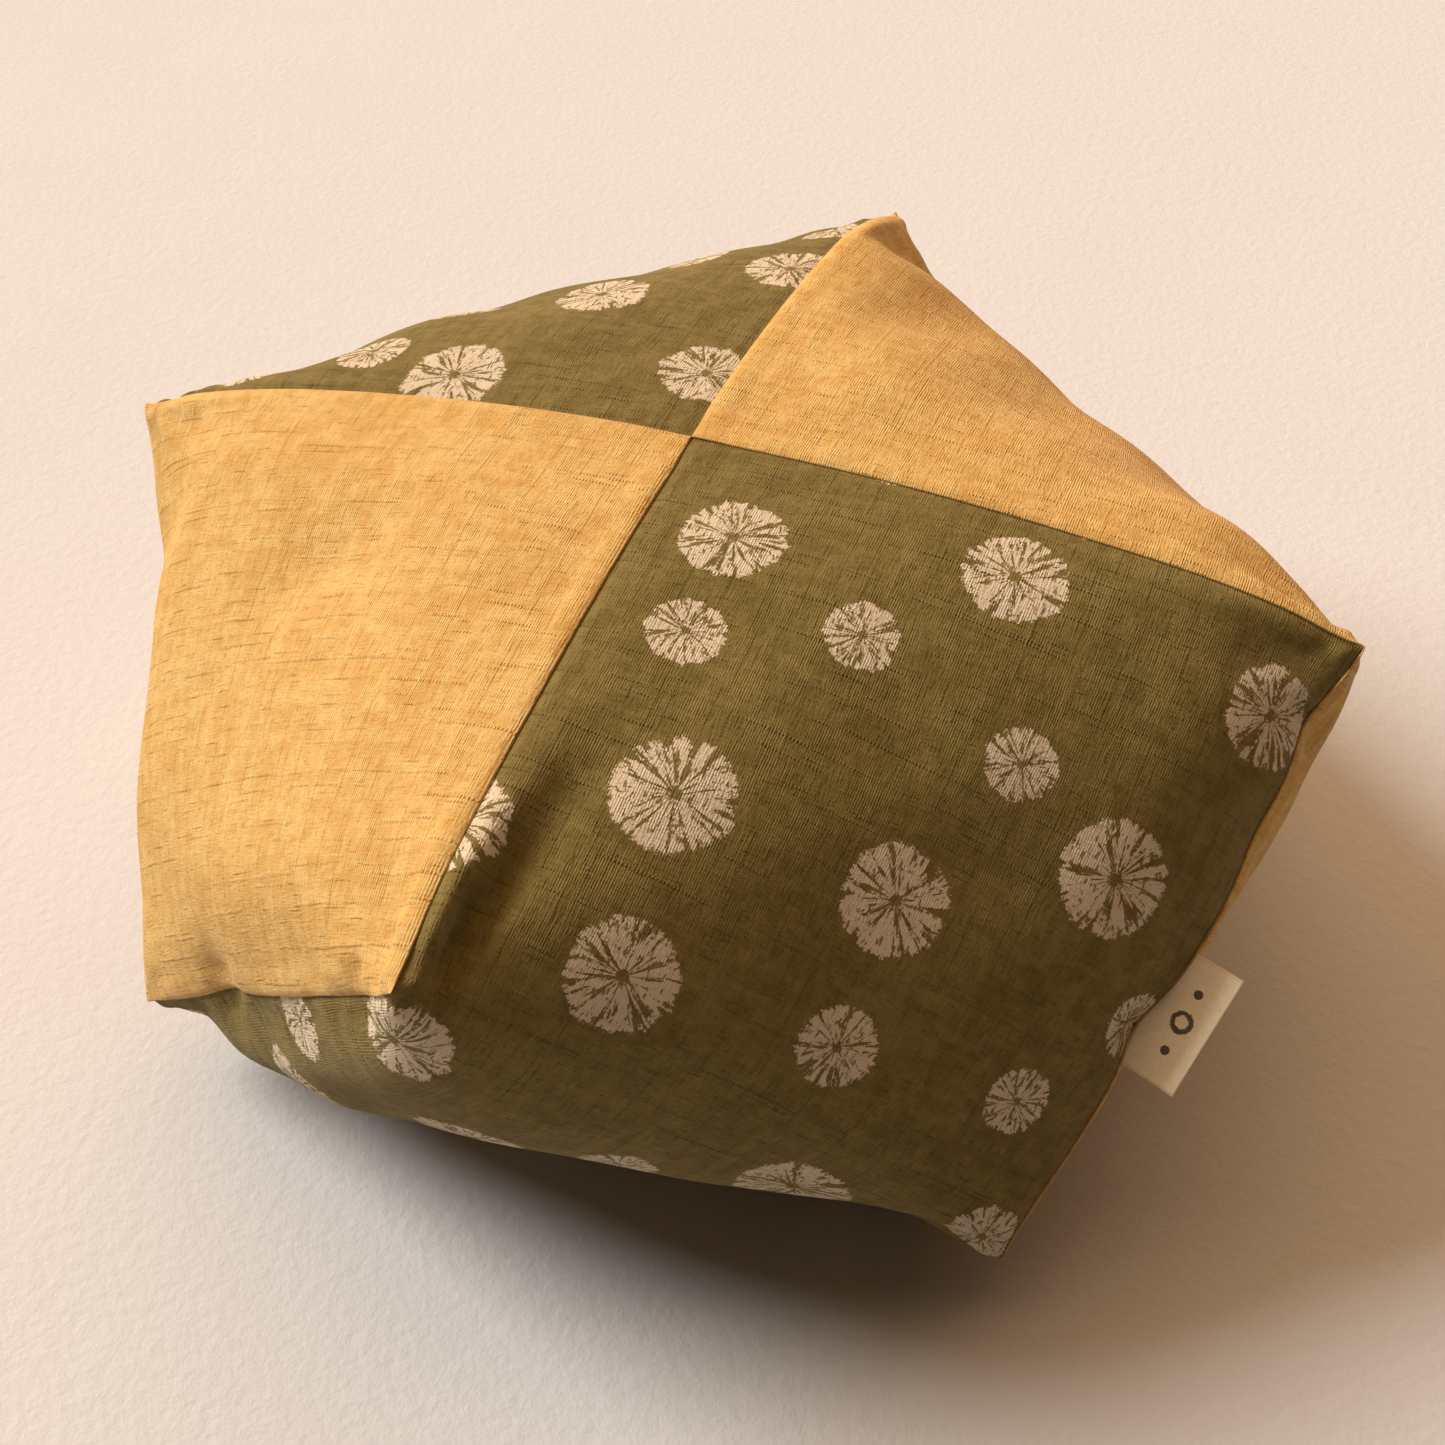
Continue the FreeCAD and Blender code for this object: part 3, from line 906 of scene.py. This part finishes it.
def slub_lines(tree, group, across, along, lane, thickness, dash, amount):
    """Places one set of slub lines and gives their mask."""
    made = put(tree, "ShaderNodeGroup", node_tree=group)
    values = (across, along, lane, thickness, dash, amount)
    for socket, value in zip(made.inputs, values):
        if isinstance(value, bpy.types.NodeSocket):
            tree.links.new(value, socket)
        else:
            socket.default_value = value
    return made.outputs["Mask"]


def slub_cotton_group(lines):
    """The ribbed cotton that both colours are woven in: x of Place goes across the ribs and y along them."""
    tree, given, result = new_group(
        "Slub Cotton",
        (("Place", VECTOR, (0.0, 0.0, 0.0)), ("Rib Spacing", VALUE, 0.0009)),
        (("Height", VALUE), ("Dark Slub", VALUE), ("Raised Slub", VALUE),
         ("Mottle", VALUE), ("Flecks", VALUE), ("Ribs", VALUE)),
    )
    across, along = parted(tree, given["Place"])[:2]
    wander = calc(tree, "SUBTRACT", noise(tree, given["Place"], 45.0, 2.0), 0.5)
    across = calc(tree, "MULTIPLY_ADD", wander, 0.0010, across)
    along = calc(tree, "MULTIPLY_ADD", wander, -0.0012, along)

    def stretched(x_scale, y_scale):
        return joined(tree, calc(tree, "MULTIPLY", across, x_scale), calc(tree, "MULTIPLY", along, y_scale))

    turn = calc(tree, "MULTIPLY", calc(tree, "DIVIDE", across, given["Rib Spacing"]), 2 * math.pi)
    ribs = calc(tree, "MULTIPLY_ADD", calc(tree, "SINE", turn), 0.5, 0.5)
    ribs = calc(tree, "MULTIPLY", ribs, ramp(tree, noise(tree, stretched(150.0, 50.0), 1.0, 2.0), 0.35, 0.65))
    rib_flecks = noise(tree, stretched(1300.0, 190.0), 1.0, 2.0, 0.6)
    weft_flecks = noise(tree, stretched(210.0, 1200.0), 1.0, 2.0, 0.6)
    rib_beads = calc(tree, "MULTIPLY_ADD", calc(tree, "SINE", calc(tree, "MULTIPLY", turn, 0.7)), 0.4, 0.6)
    weft_turn = calc(tree, "MULTIPLY", along, 2 * math.pi / 0.0014)
    weft_beads = calc(tree, "MULTIPLY_ADD", calc(tree, "SINE", weft_turn), 0.3, 0.7)
    dark_sets = (
        (across, 0.0098, 0.00050, 0.024, 0.53),
        (calc(tree, "ADD", across, 0.37), 0.0065, 0.00034, 0.013, 0.50),
        (calc(tree, "ADD", across, 0.71), 0.0210, 0.00042, 0.060, 0.53),
    )
    raised_sets = (
        (calc(tree, "ADD", along, 0.11), 0.0090, 0.00062, 0.024, 0.51),
        (calc(tree, "ADD", along, 0.53), 0.0048, 0.00044, 0.012, 0.47),
        (calc(tree, "ADD", along, 0.29), 0.0160, 0.00060, 0.045, 0.47),
    )
    dark, raised = 0.0, 0.0
    for place, lane, thickness, dash, amount in dark_sets:
        slubs = slub_lines(tree, lines, place, along, lane, thickness, dash, amount)
        dark = calc(tree, "MAXIMUM", dark, slubs)
    for place, lane, thickness, dash, amount in raised_sets:
        slubs = slub_lines(tree, lines, place, across, lane, thickness, dash, amount)
        raised = calc(tree, "MAXIMUM", raised, slubs)
    dark = calc(tree, "MULTIPLY", dark, weft_beads)
    raised = calc(tree, "MULTIPLY", raised, rib_beads)
    height = calc(tree, "MULTIPLY", ribs, 0.30)
    height = calc(tree, "MULTIPLY_ADD", rib_flecks, 0.75, height)
    height = calc(tree, "MULTIPLY_ADD", weft_flecks, 0.65, height)
    height = calc(tree, "MULTIPLY_ADD", raised, 0.8, height)
    height = calc(tree, "MULTIPLY_ADD", dark, 0.30, height)
    broad = noise(tree, given["Place"], 22.0, 3.0, 0.6)
    long_blotch = noise(tree, stretched(60.0, 190.0), 1.0, 2.0)
    wide_blotch = noise(tree, stretched(190.0, 60.0), 1.0, 2.0)
    blotch = calc(tree, "ADD", long_blotch, wide_blotch)
    mottle = calc(tree, "MULTIPLY_ADD", blotch, 0.35, calc(tree, "MULTIPLY", broad, 0.3))
    flecks = calc(tree, "MULTIPLY", calc(tree, "ADD", rib_flecks, weft_flecks), 0.5)
    tree.links.new(height, result["Height"])
    tree.links.new(dark, result["Dark Slub"])
    tree.links.new(raised, result["Raised Slub"])
    tree.links.new(mottle, result["Mottle"])
    tree.links.new(flecks, result["Flecks"])
    # The Ribs output is the rib height; the cotton uses it for painted shade in the rib grooves.
    tree.links.new(ribs, result["Ribs"])
    return tree


def nearer_bloom_group():
    """Keeps the nearer of the bloom kept so far and the one centred here. z carries the bloom's own draw."""
    tree, given, result = new_group(
        "Nearer Bloom",
        (("Place", VECTOR, (0.0, 0.0, 0.0)), ("Centre", VECTOR, (0.0, 0.0, 0.0)), ("Radius", VALUE, 0.02),
         ("Kept Bloom", VECTOR, (9.0, 9.0, 0.0)), ("Kept Share", VALUE, 9.0)),
        (("Bloom", VECTOR), ("Share", VALUE)),
    )
    offset = vector_calc(tree, "SUBTRACT", given["Place"], given["Centre"])
    per_radius = calc(tree, "DIVIDE", 1.0, given["Radius"])
    scaled = put(tree, "ShaderNodeVectorMath", {0: offset, "Scale": per_radius}, operation="SCALE").outputs[0]
    flat = vector_calc(tree, "MULTIPLY", scaled, (1.0, 1.0, 0.0))
    share = put(tree, "ShaderNodeVectorMath", {0: flat}, operation="LENGTH").outputs["Value"]
    nearer = calc(tree, "LESS_THAN", share, given["Kept Share"])
    tree.links.new(mixed(tree, nearer, given["Kept Bloom"], scaled, "VECTOR"), result["Bloom"])
    tree.links.new(calc(tree, "MINIMUM", share, given["Kept Share"]), result["Share"])
    return tree


def bloom_petals_group():
    """A round tie-dyed flower: ragged rim, dark slits between its petals and a small dark heart."""
    tree, given, result = new_group(
        "Bloom Petals",
        (("Bloom", VECTOR, (0.0, 0.0, 0.0)), ("Share", VALUE, 0.0), ("Place", VECTOR, (0.0, 0.0, 0.0))),
        (("Mask", VALUE),),
    )
    x, y, draw = parted(tree, given["Bloom"])
    safe = calc(tree, "MAXIMUM", given["Share"], 0.001)
    round_x = calc(tree, "DIVIDE", x, safe)
    round_y = calc(tree, "DIVIDE", y, safe)
    fray = calc(tree, "SUBTRACT", noise(tree, given["Place"], 780.0, 3.0, 0.7), 0.5)
    lobe_x = calc(tree, "MULTIPLY", round_x, 3.2)
    lobe_y = calc(tree, "MULTIPLY", round_y, 3.2)
    lobe_place = joined(tree, lobe_x, lobe_y, draw)
    lobes = noise(tree, lobe_place, 1.0, 2.0)
    rim = calc(tree, "MULTIPLY_ADD", calc(tree, "SUBTRACT", lobes, 0.5), 0.30, 0.93)
    rim = calc(tree, "MULTIPLY_ADD", fray, 0.34, rim)
    inside = ramp(tree, calc(tree, "SUBTRACT", rim, given["Share"]), 0.0, 0.025)
    slit_place = joined(tree, calc(tree, "MULTIPLY", round_x, 6.4), calc(tree, "MULTIPLY", round_y, 6.4),
                        calc(tree, "MULTIPLY_ADD", given["Share"], 1.6, draw))
    slits = noise(tree, slit_place, 1.0, 3.0, 0.6)
    slits = calc(tree, "MULTIPLY_ADD", fray, 0.36, slits)
    reach = ramp(tree, given["Share"], 0.1, 0.9, 0.0, 0.035)
    slits = ramp(tree, calc(tree, "SUBTRACT", slits, reach), 0.510, 0.535, 1.0, 0.0)
    across, along = parted(tree, given["Place"])[:2]
    speck_place = joined(tree, calc(tree, "MULTIPLY", across, 620.0), calc(tree, "MULTIPLY", along, 210.0))
    specks = noise(tree, speck_place, 1.0, 2.0)
    specks = ramp(tree, specks, 0.60, 0.64, 1.0, 0.1)
    heart_size = calc(tree, "MULTIPLY_ADD", fray, 0.35, 0.10)
    heart = ramp(tree, calc(tree, "SUBTRACT", given["Share"], heart_size), 0.0, 0.04)
    mask = calc(tree, "MULTIPLY", inside, slits)
    mask = calc(tree, "MULTIPLY", mask, specks)
    tree.links.new(calc(tree, "MULTIPLY", mask, heart), result["Mask"])
    return tree


SLUB_LINES = slub_lines_group()
SLUB_COTTON = slub_cotton_group(SLUB_LINES)
NEARER_BLOOM = nearer_bloom_group()
BLOOM_PETALS = bloom_petals_group()


def new_material(name):
    """A material with a bare shader; gives its tree and shader."""
    material = bpy.data.materials.new(name)
    material.use_nodes = True
    tree = material.node_tree
    return material, tree, tree.nodes["Principled BSDF"]


def bumped(tree, shader, height, distance, strength=1.0):
    """Feeds a height to the shader's normal."""
    bump = put(tree, "ShaderNodeBump", {"Height": height, "Distance": distance, "Strength": strength})
    tree.links.new(bump.outputs[0], shader.inputs["Normal"])


def cloth_place(tree, turned=False):
    """The cloth place as a vector with z 0; turned swaps s and t."""
    made = put(tree, "ShaderNodeUVMap", uv_map="cloth_place").outputs[0]
    s, t = parted(tree, made)[:2]
    return joined(tree, t, s) if turned else joined(tree, s, t)


def cotton(tree, shader, place, base, deep, pale):
    """Ribbed slub cotton in one colour, with painted shade in its rib grooves; gives its colour socket and
    its group.
    """
    weave = put(tree, "ShaderNodeGroup", {}, node_tree=SLUB_COTTON)
    tree.links.new(place, weave.inputs["Place"])
    colour = mixed(tree, ramp(tree, weave.outputs["Mottle"], 0.40, 0.60), base, pale)
    colour = mixed(tree, ramp(tree, weave.outputs["Flecks"], 0.36, 0.50, 0.45, 0.0), colour, deep)
    colour = mixed(tree, ramp(tree, weave.outputs["Flecks"], 0.54, 0.66, 0.0, 0.60), colour, pale)
    # Painted shade in the rib grooves: deeper colour where the rib height is low.
    colour = mixed(tree, ramp(tree, weave.outputs["Ribs"], 0.0, 0.6, 0.14, 0.0), colour, deep)
    colour = mixed(tree, calc(tree, "MULTIPLY", weave.outputs["Dark Slub"], 0.34), colour, deep)
    colour = mixed(tree, calc(tree, "MULTIPLY", weave.outputs["Raised Slub"], 0.24), colour, deep)
    rough = calc(tree, "MULTIPLY_ADD", weave.outputs["Mottle"], -0.2, 0.92)
    tree.links.new(rough, shader.inputs["Roughness"])
    shader.inputs["Sheen Weight"].default_value = 0.05
    shader.inputs["Sheen Roughness"].default_value = 0.45
    shader.inputs["Specular IOR Level"].default_value = 0.15
    bumped(tree, shader, weave.outputs["Height"], 0.55 * MM)
    return colour, weave


def mustard_cotton():
    """Plain golden mustard cotton."""
    material, tree, shader = new_material("mustard_cotton")
    place = cloth_place(tree, turned=True)
    base, deep, pale = (0.54, 0.318, 0.092, 1), (0.34, 0.135, 0.022, 1), (0.62, 0.415, 0.15, 1)
    colour = cotton(tree, shader, place, base, deep, pale)[0]
    tree.links.new(colour, shader.inputs["Base Color"])
    return material


# The print of each olive panel: s, t and radius of every bloom in millimetres, with its middle to 5 mm.
BLOOMS = {
    0: (
        (35, 50, 20), (130, 30, 20), (35, 95, 15), (90, 75, 14), (55, 155, 22), (230, 40, 20),
        (155, 95, 14), (200, 115, 21), (135, 155, 20), (65, 215, 20), (140, 205, 15), (210, 195, 13),
        (240, 155, 15), (-5, 190, 20), (170, 270, 22), (115, 295, 15), (15, 270, 20), (235, 245, 15),
        (75, -10, 13), (145, -10, 12), (-10, 125, 12), (70, 315, 20), (10, 345, 14), (35, 380, 17),
        (215, 305, 22), (160, 345, 15), (75, 370, 15), (120, 395, 22), (200, 375, 17), (235, 430, 20),
        (70, 445, 20), (165, 450, 16), (25, 485, 15), (120, 495, 20), (215, 490, 15),
    ),
    2: (
        (150, 30, 16), (105, 15, 22), (75, 90, 21), (10, 40, 20), (10, 135, 20), (10, 190, 15),
        (205, 20, 16), (135, 80, 16), (190, 80, 22), (60, 155, 15), (115, 165, 22), (170, 140, 15),
        (230, 125, 20), (210, 185, 16), (60, 215, 21), (150, 220, 17), (240, 235, 20), (15, 250, 15),
        (110, 265, 16), (190, 270, 22), (45, 290, 20), (140, 315, 20), (235, 310, 16), (85, 345, 15),
        (20, 360, 21), (185, 360, 16), (130, 385, 16), (235, 385, 21), (70, 410, 22), (160, 435, 21),
        (20, 450, 16), (215, 455, 16), (95, 475, 15), (150, 490, 14),
    ),
}


def olive_print(name, panel):
    """Olive cotton with its blooms."""
    material, tree, shader = new_material(name)
    place = cloth_place(tree)
    base, deep, pale = (0.152, 0.108, 0.025, 1), (0.045, 0.028, 0.006, 1), (0.205, 0.150, 0.043, 1)
    colour, weave = cotton(tree, shader, place, base, deep, pale)
    bloom, share = None, None
    for number, (s, t, radius) in enumerate(BLOOMS[panel]):
        made = put(tree, "ShaderNodeGroup", {}, node_tree=NEARER_BLOOM)
        tree.links.new(place, made.inputs["Place"])
        made.inputs["Centre"].default_value = (s * MM, t * MM, -number * 0.17)
        made.inputs["Radius"].default_value = radius * MM
        if bloom is not None:
            tree.links.new(bloom, made.inputs["Kept Bloom"])
            tree.links.new(share, made.inputs["Kept Share"])
        bloom, share = made.outputs["Bloom"], made.outputs["Share"]
    given = {"Bloom": bloom, "Share": share, "Place": place}
    petals = put(tree, "ShaderNodeGroup", given, node_tree=BLOOM_PETALS)
    dye = mixed(tree, weave.outputs["Mottle"], (0.52, 0.415, 0.295, 1), (0.60, 0.50, 0.37, 1))
    dye = mixed(tree, ramp(tree, weave.outputs["Flecks"], 0.34, 0.50, 0.35, 0.0), dye, (0.24, 0.15, 0.07, 1))
    tree.links.new(mixed(tree, petals.outputs["Mask"], colour, dye), shader.inputs["Base Color"])
    return material


def fibre_haze_group():
    """The tangled fibres of wadding, with a Shade mask that paints shade into the hollows between them."""
    tree, given, result = new_group(
        "Fibre Haze", (("Scale", VALUE, 300.0),), (("Height", VALUE), ("Shade", VALUE)),
    )
    place = put(tree, "ShaderNodeTexCoord").outputs["Object"]
    bent = put(tree, "ShaderNodeTexNoise", {"Vector": place, "Scale": 60.0, "Detail": 2.0})
    bend = vector_calc(tree, "MULTIPLY", bent.outputs["Color"], (0.01, 0.01, 0.01))
    place = vector_calc(tree, "ADD", place, bend)
    strands = put(tree, "ShaderNodeTexNoise", {"Vector": place, "Scale": given["Scale"], "Detail": 6.0,
                                               "Roughness": 0.7, "Distortion": 1.4}).outputs["Fac"]
    clumps = noise(tree, place, 35.0, 3.0)
    tree.links.new(calc(tree, "MULTIPLY_ADD", clumps, 0.6, strands), result["Height"])
    # Painted shade: the Shade mask follows the fibre height, so the hollows get the darker colour.
    tree.links.new(ramp(tree, calc(tree, "ADD", clumps, strands), 0.6, 1.4), result["Shade"])
    return tree


def wadding_material(name, group, base, shade, scale):
    """Off-white wadding, with painted shade: the shade colour goes where the fibres lie low."""
    material, tree, shader = new_material(name)
    haze = put(tree, "ShaderNodeGroup", {"Scale": scale}, node_tree=group)
    tree.links.new(mixed(tree, haze.outputs["Shade"], shade, base), shader.inputs["Base Color"])
    tree.links.new(ramp(tree, haze.outputs["Shade"], 0.0, 1.0, 1.0, 0.85), shader.inputs["Roughness"])
    shader.inputs["Sheen Weight"].default_value = 0.3
    bumped(tree, shader, haze.outputs["Height"], 1.5 * MM)
    return material


def thread_twist_group():
    """The slanting plies of twisted thread."""
    tree, given, result = new_group(
        "Thread Twist", (("Ply Spacing", VALUE, 0.0004),), (("Height", VALUE), ("Fuzz", VALUE)),
    )
    x, y, z = parted(tree, put(tree, "ShaderNodeTexCoord").outputs["Object"])
    slant = calc(tree, "ADD", calc(tree, "MULTIPLY_ADD", y, 0.8, x), calc(tree, "MULTIPLY", z, 1.3))
    turn = calc(tree, "DIVIDE", calc(tree, "MULTIPLY", slant, 2 * math.pi), given["Ply Spacing"])
    plies = calc(tree, "SINE", turn)
    place = put(tree, "ShaderNodeTexCoord").outputs["Object"]
    tree.links.new(calc(tree, "MULTIPLY_ADD", plies, 0.5, 0.5), result["Height"])
    tree.links.new(noise(tree, place, 2600.0, 3.0), result["Fuzz"])
    return tree


def thread_material(name, group, base, shade):
    """Dyed cotton thread, with random darker fuzz and painted shade in the grooves between its plies."""
    material, tree, shader = new_material(name)
    twist = put(tree, "ShaderNodeGroup", {}, node_tree=group)
    # Painted shade: half the mix follows the ply height, so the grooves between plies are darker; the other
    # half is random fuzz.
    half_height = calc(tree, "MULTIPLY", twist.outputs["Height"], 0.5)
    share = calc(tree, "MULTIPLY_ADD", twist.outputs["Fuzz"], 0.5, half_height)
    tree.links.new(mixed(tree, share, shade, base), shader.inputs["Base Color"])
    tree.links.new(calc(tree, "MULTIPLY_ADD", twist.outputs["Fuzz"], 0.3, 0.45), shader.inputs["Roughness"])
    bumped(tree, shader, twist.outputs["Height"], 0.05 * MM)
    return material


def ink_dab(tree, across, along, place, size, hollow=0.0):
    """A round dab of ink on the label; a hollow one is a ring."""
    x = calc(tree, "DIVIDE", calc(tree, "SUBTRACT", across, place[0]), size)
    y = calc(tree, "DIVIDE", calc(tree, "SUBTRACT", along, place[1]), size)
    reach = calc(tree, "SQRT", calc(tree, "ADD", calc(tree, "MULTIPLY", x, x), calc(tree, "MULTIPLY", y, y)))
    ragged = calc(tree, "SUBTRACT", noise(tree, joined(tree, x, y), 2.4, 3.0), 0.5)
    reach = calc(tree, "MULTIPLY_ADD", ragged, 0.5, reach)
    dab = ramp(tree, reach, 0.9, 1.05, 1.0, 0.0)
    return calc(tree, "MULTIPLY", dab, ramp(tree, reach, hollow - 0.12, hollow, 0.0, 1.0)) if hollow else dab


def ribbon_material():
    """Cream woven ribbon with a plain ring and two dots of ink on its upper face."""
    material, tree, shader = new_material("label_ribbon")
    place = cloth_place(tree)
    across, along = parted(tree, place)[:2]
    warp = calc(tree, "SINE", calc(tree, "MULTIPLY", across, 2 * math.pi / 0.00045))
    weft = calc(tree, "SINE", calc(tree, "MULTIPLY", along, 2 * math.pi / 0.00038))
    height = calc(tree, "MULTIPLY_ADD", calc(tree, "MULTIPLY", warp, weft), 0.5, 0.5)
    mottle = noise(tree, place, 420.0, 4.0, 0.6)
    colour = mixed(tree, ramp(tree, mottle, 0.35, 0.65), (0.90, 0.80, 0.60, 1), (0.95, 0.87, 0.69, 1))
    edge = calc(tree, "ABSOLUTE", across)
    selvedge = ramp(tree, edge, LABEL_LENGTH / 2 - 1.2 * MM, LABEL_LENGTH / 2 - 0.9 * MM)
    colour = mixed(tree, calc(tree, "MULTIPLY", selvedge, 0.25), colour, (0.50, 0.38, 0.24, 1))
    middle = LABEL_TUCK + LABEL_REACH / 2
    ink = ink_dab(tree, across, along, (0.0, middle), 4.2 * MM, hollow=0.62)
    for way in (-1, 1):
        ink = calc(tree, "MAXIMUM", ink, ink_dab(tree, across, along, (way * 11 * MM, middle), 1.7 * MM))
    colour = mixed(tree, calc(tree, "MULTIPLY", ink, 0.92), colour, (0.035, 0.025, 0.020, 1))
    tree.links.new(colour, shader.inputs["Base Color"])
    tree.links.new(calc(tree, "MULTIPLY_ADD", mottle, 0.3, 0.55), shader.inputs["Roughness"])
    shader.inputs["Sheen Weight"].default_value = 0.1
    bumped(tree, shader, height, 0.05 * MM)
    return material


def floor_material():
    """Pale, slightly rosy paper floor."""
    material, tree, shader = new_material("pale_floor")
    place = put(tree, "ShaderNodeTexCoord").outputs["Object"]
    clouds = noise(tree, place, 5.0, 5.0, 0.6)
    grain = noise(tree, place, 170.0, 4.0, 0.65)
    colour = mixed(tree, clouds, (0.525, 0.515, 0.52, 1), (0.56, 0.555, 0.565, 1))
    tree.links.new(colour, shader.inputs["Base Color"])
    tree.links.new(calc(tree, "MULTIPLY_ADD", grain, 0.1, 0.85), shader.inputs["Roughness"])
    bumped(tree, shader, grain, 0.6 * MM)
    return material


# ---------------------------------------------------------------- putting the cushion together


def cover(made, material):
    """Gives a piece its material."""
    made.data.materials.clear()
    made.data.materials.append(material)


MUSTARD = mustard_cotton()
COTTONS = (olive_print("olive_print_right", 0), MUSTARD, olive_print("olive_print_left", 2), MUSTARD)
for number, node in enumerate(PANELS):
    panel_cloth = casing_panel(number)
    cover(panel_cloth, COTTONS[number])
    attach(panel_cloth, "cushion")
    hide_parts(node)

FIBRE_HAZE = fibre_haze_group()
# The second colour of each wadding is painted shade for its fibre hollows.
CORNER_WADDING = wadding_material(
    "corner_wadding", FIBRE_HAZE, (0.86, 0.82, 0.74, 1), (0.70, 0.65, 0.55, 1), 320.0)
SHEET_WADDING = wadding_material(
    "sheet_wadding", FIBRE_HAZE, (0.90, 0.87, 0.80, 1), (0.74, 0.70, 0.61, 1), 240.0)
for corner_name in CORNERS:
    wad = corner_wad(corner_name)
    cover(wad, CORNER_WADDING)
    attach(wad, "cushion")
    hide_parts(corner_name + "_wad")
for number in range(1, 7):
    batt = wadding_sheet(number)
    cover(batt, SHEET_WADDING)
    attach(batt, "cushion")
    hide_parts(f"wadding_sheet_{number}")

THREAD_TWIST = thread_twist_group()
# The second colour of each thread is its darker fuzz and the painted shade in its ply grooves.
SEAM_THREAD = thread_material("seam_thread", THREAD_TWIST, (0.50, 0.33, 0.12, 1), (0.26, 0.15, 0.05, 1))
CLOSING_THREAD = thread_material("closing_thread", THREAD_TWIST, (0.62, 0.40, 0.14, 1), (0.34, 0.19, 0.06, 1))
for number in range(4):
    seams = (
        (UPPER_CORNERS[number] + "_top_seam", "top"),
        (UPPER_CORNERS[number] + "_side_seam", "side"),
        (LOWER_CORNERS[number] + "_underside_seam", "underside"),
    )
    for node, side in seams:
        stitches = seam_stitches(node + "_stitches", number, side)
        cover(stitches, SEAM_THREAD)
        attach(stitches, "cushion")
        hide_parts(node)
ladder = hand_closing()
cover(ladder, CLOSING_THREAD)
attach(ladder, "cushion")
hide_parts("hand_closing_thread")

label, label_root, label_bend_end = folded_label()
cover(label, ribbon_material())
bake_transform(label)
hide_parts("label")

# ---------------------------------------------------------------- floor, light and camera

FLOOR_REACH = 30
floor_points = [(x * FLOOR_REACH, y * FLOOR_REACH, 0) for x, y in ((-1, -1), (1, -1), (1, 1), (-1, 1))]
floor = mesh_object("floor", floor_points, ((0, 1, 2, 3),))
cover(floor, floor_material())

CAMERA_TURN = math.radians(68.0)
CAMERA_HEIGHT = math.radians(42.8)
CAMERA_DISTANCE = 0.799
CAMERA_TARGET = Vector((0.0147, 0.0002, 0.0966))
CAMERA_ROLL = math.radians(-3.05)
CAMERA_LENS = 49.2
CAMERA_SENSOR = 36
CAMERA_SIGHT = 100

# Lights and room: colour, and how strong each is.
KEY_COLOUR, KEY_ENERGY, KEY_SOFTNESS = (1.0, 1.0, 0.96), 4.2, 0.5
OVERHEAD_COLOUR, OVERHEAD_ENERGY, OVERHEAD_SOFTNESS = (1.0, 0.63, 0.35), 3.1, 1.8
ROOM_COLOUR, ROOM_STRENGTH = (1.0, 0.66, 0.40, 1), 0.08
WALL_COLOUR, WALL_STRENGTH = (0.80, 0.72, 0.64, 1), 1.0


def camera_axes():
    """The camera's ways right, up and back."""
    back = Vector((math.sin(CAMERA_TURN) * math.cos(CAMERA_HEIGHT),
                   -math.cos(CAMERA_TURN) * math.cos(CAMERA_HEIGHT), math.sin(CAMERA_HEIGHT)))
    right = (-back).cross(Vector((0, 0, 1))).normalized()
    up = right.cross(-back)
    rolled_right = math.cos(CAMERA_ROLL) * right + math.sin(CAMERA_ROLL) * up
    rolled_up = -math.sin(CAMERA_ROLL) * right + math.cos(CAMERA_ROLL) * up
    return rolled_right, rolled_up, back


def add_camera():
    """The camera at the viewing angle."""
    right, up, back = camera_axes()
    data = bpy.data.cameras.new("view")
    data.lens = CAMERA_LENS
    data.sensor_width = CAMERA_SENSOR
    data.clip_end = CAMERA_SIGHT
    made = bpy.data.objects.new("view", data)
    bpy.context.scene.collection.objects.link(made)
    place = CAMERA_TARGET + back * CAMERA_DISTANCE
    rotation = Matrix((right, up, back)).transposed().to_4x4()
    made.matrix_world = Matrix.Translation(place) @ rotation
    bpy.context.scene.camera = made


def add_sun(name, towards, energy, softness, colour):
    """A distant soft light; towards points at it."""
    data = bpy.data.lights.new(name, "SUN")
    data.energy = energy
    data.angle = softness
    data.color = colour
    made = bpy.data.objects.new(name, data)
    made.rotation_euler = towards.to_track_quat("Z", "Y").to_euler()
    bpy.context.scene.collection.objects.link(made)


def add_light():
    """A key from the left, a broad warm light from behind and above, a dim room and a pale wall."""
    right, back = camera_axes()[::2]
    ahead = Vector((-back.x, -back.y, 0)).normalized()
    above = Vector((0, 0, 1))
    towards_key = -right * 0.9 + above * 0.75 + ahead * 0.35
    towards_overhead = above - right * 0.15 + ahead * 0.95
    add_sun("key", towards_key, KEY_ENERGY, KEY_SOFTNESS, KEY_COLOUR)
    add_sun("overhead", towards_overhead, OVERHEAD_ENERGY, OVERHEAD_SOFTNESS, OVERHEAD_COLOUR)
    world = bpy.data.worlds.new("room")
    world.use_nodes = True
    tree = world.node_tree
    room_light = tree.nodes["Background"]
    room_light.inputs["Color"].default_value = ROOM_COLOUR
    room_light.inputs["Strength"].default_value = ROOM_STRENGTH
    pale_wall = put(tree, "ShaderNodeBackground", {"Color": WALL_COLOUR, "Strength": WALL_STRENGTH})
    seen = put(tree, "ShaderNodeLightPath").outputs["Is Camera Ray"]
    room = put(tree, "ShaderNodeMixShader", {0: seen, 1: room_light.outputs[0], 2: pale_wall.outputs[0]})
    tree.links.new(room.outputs[0], tree.nodes["World Output"].inputs["Surface"])
    bpy.context.scene.world = world


add_camera()
add_light()
bpy.context.scene.view_settings.view_transform = "Standard"
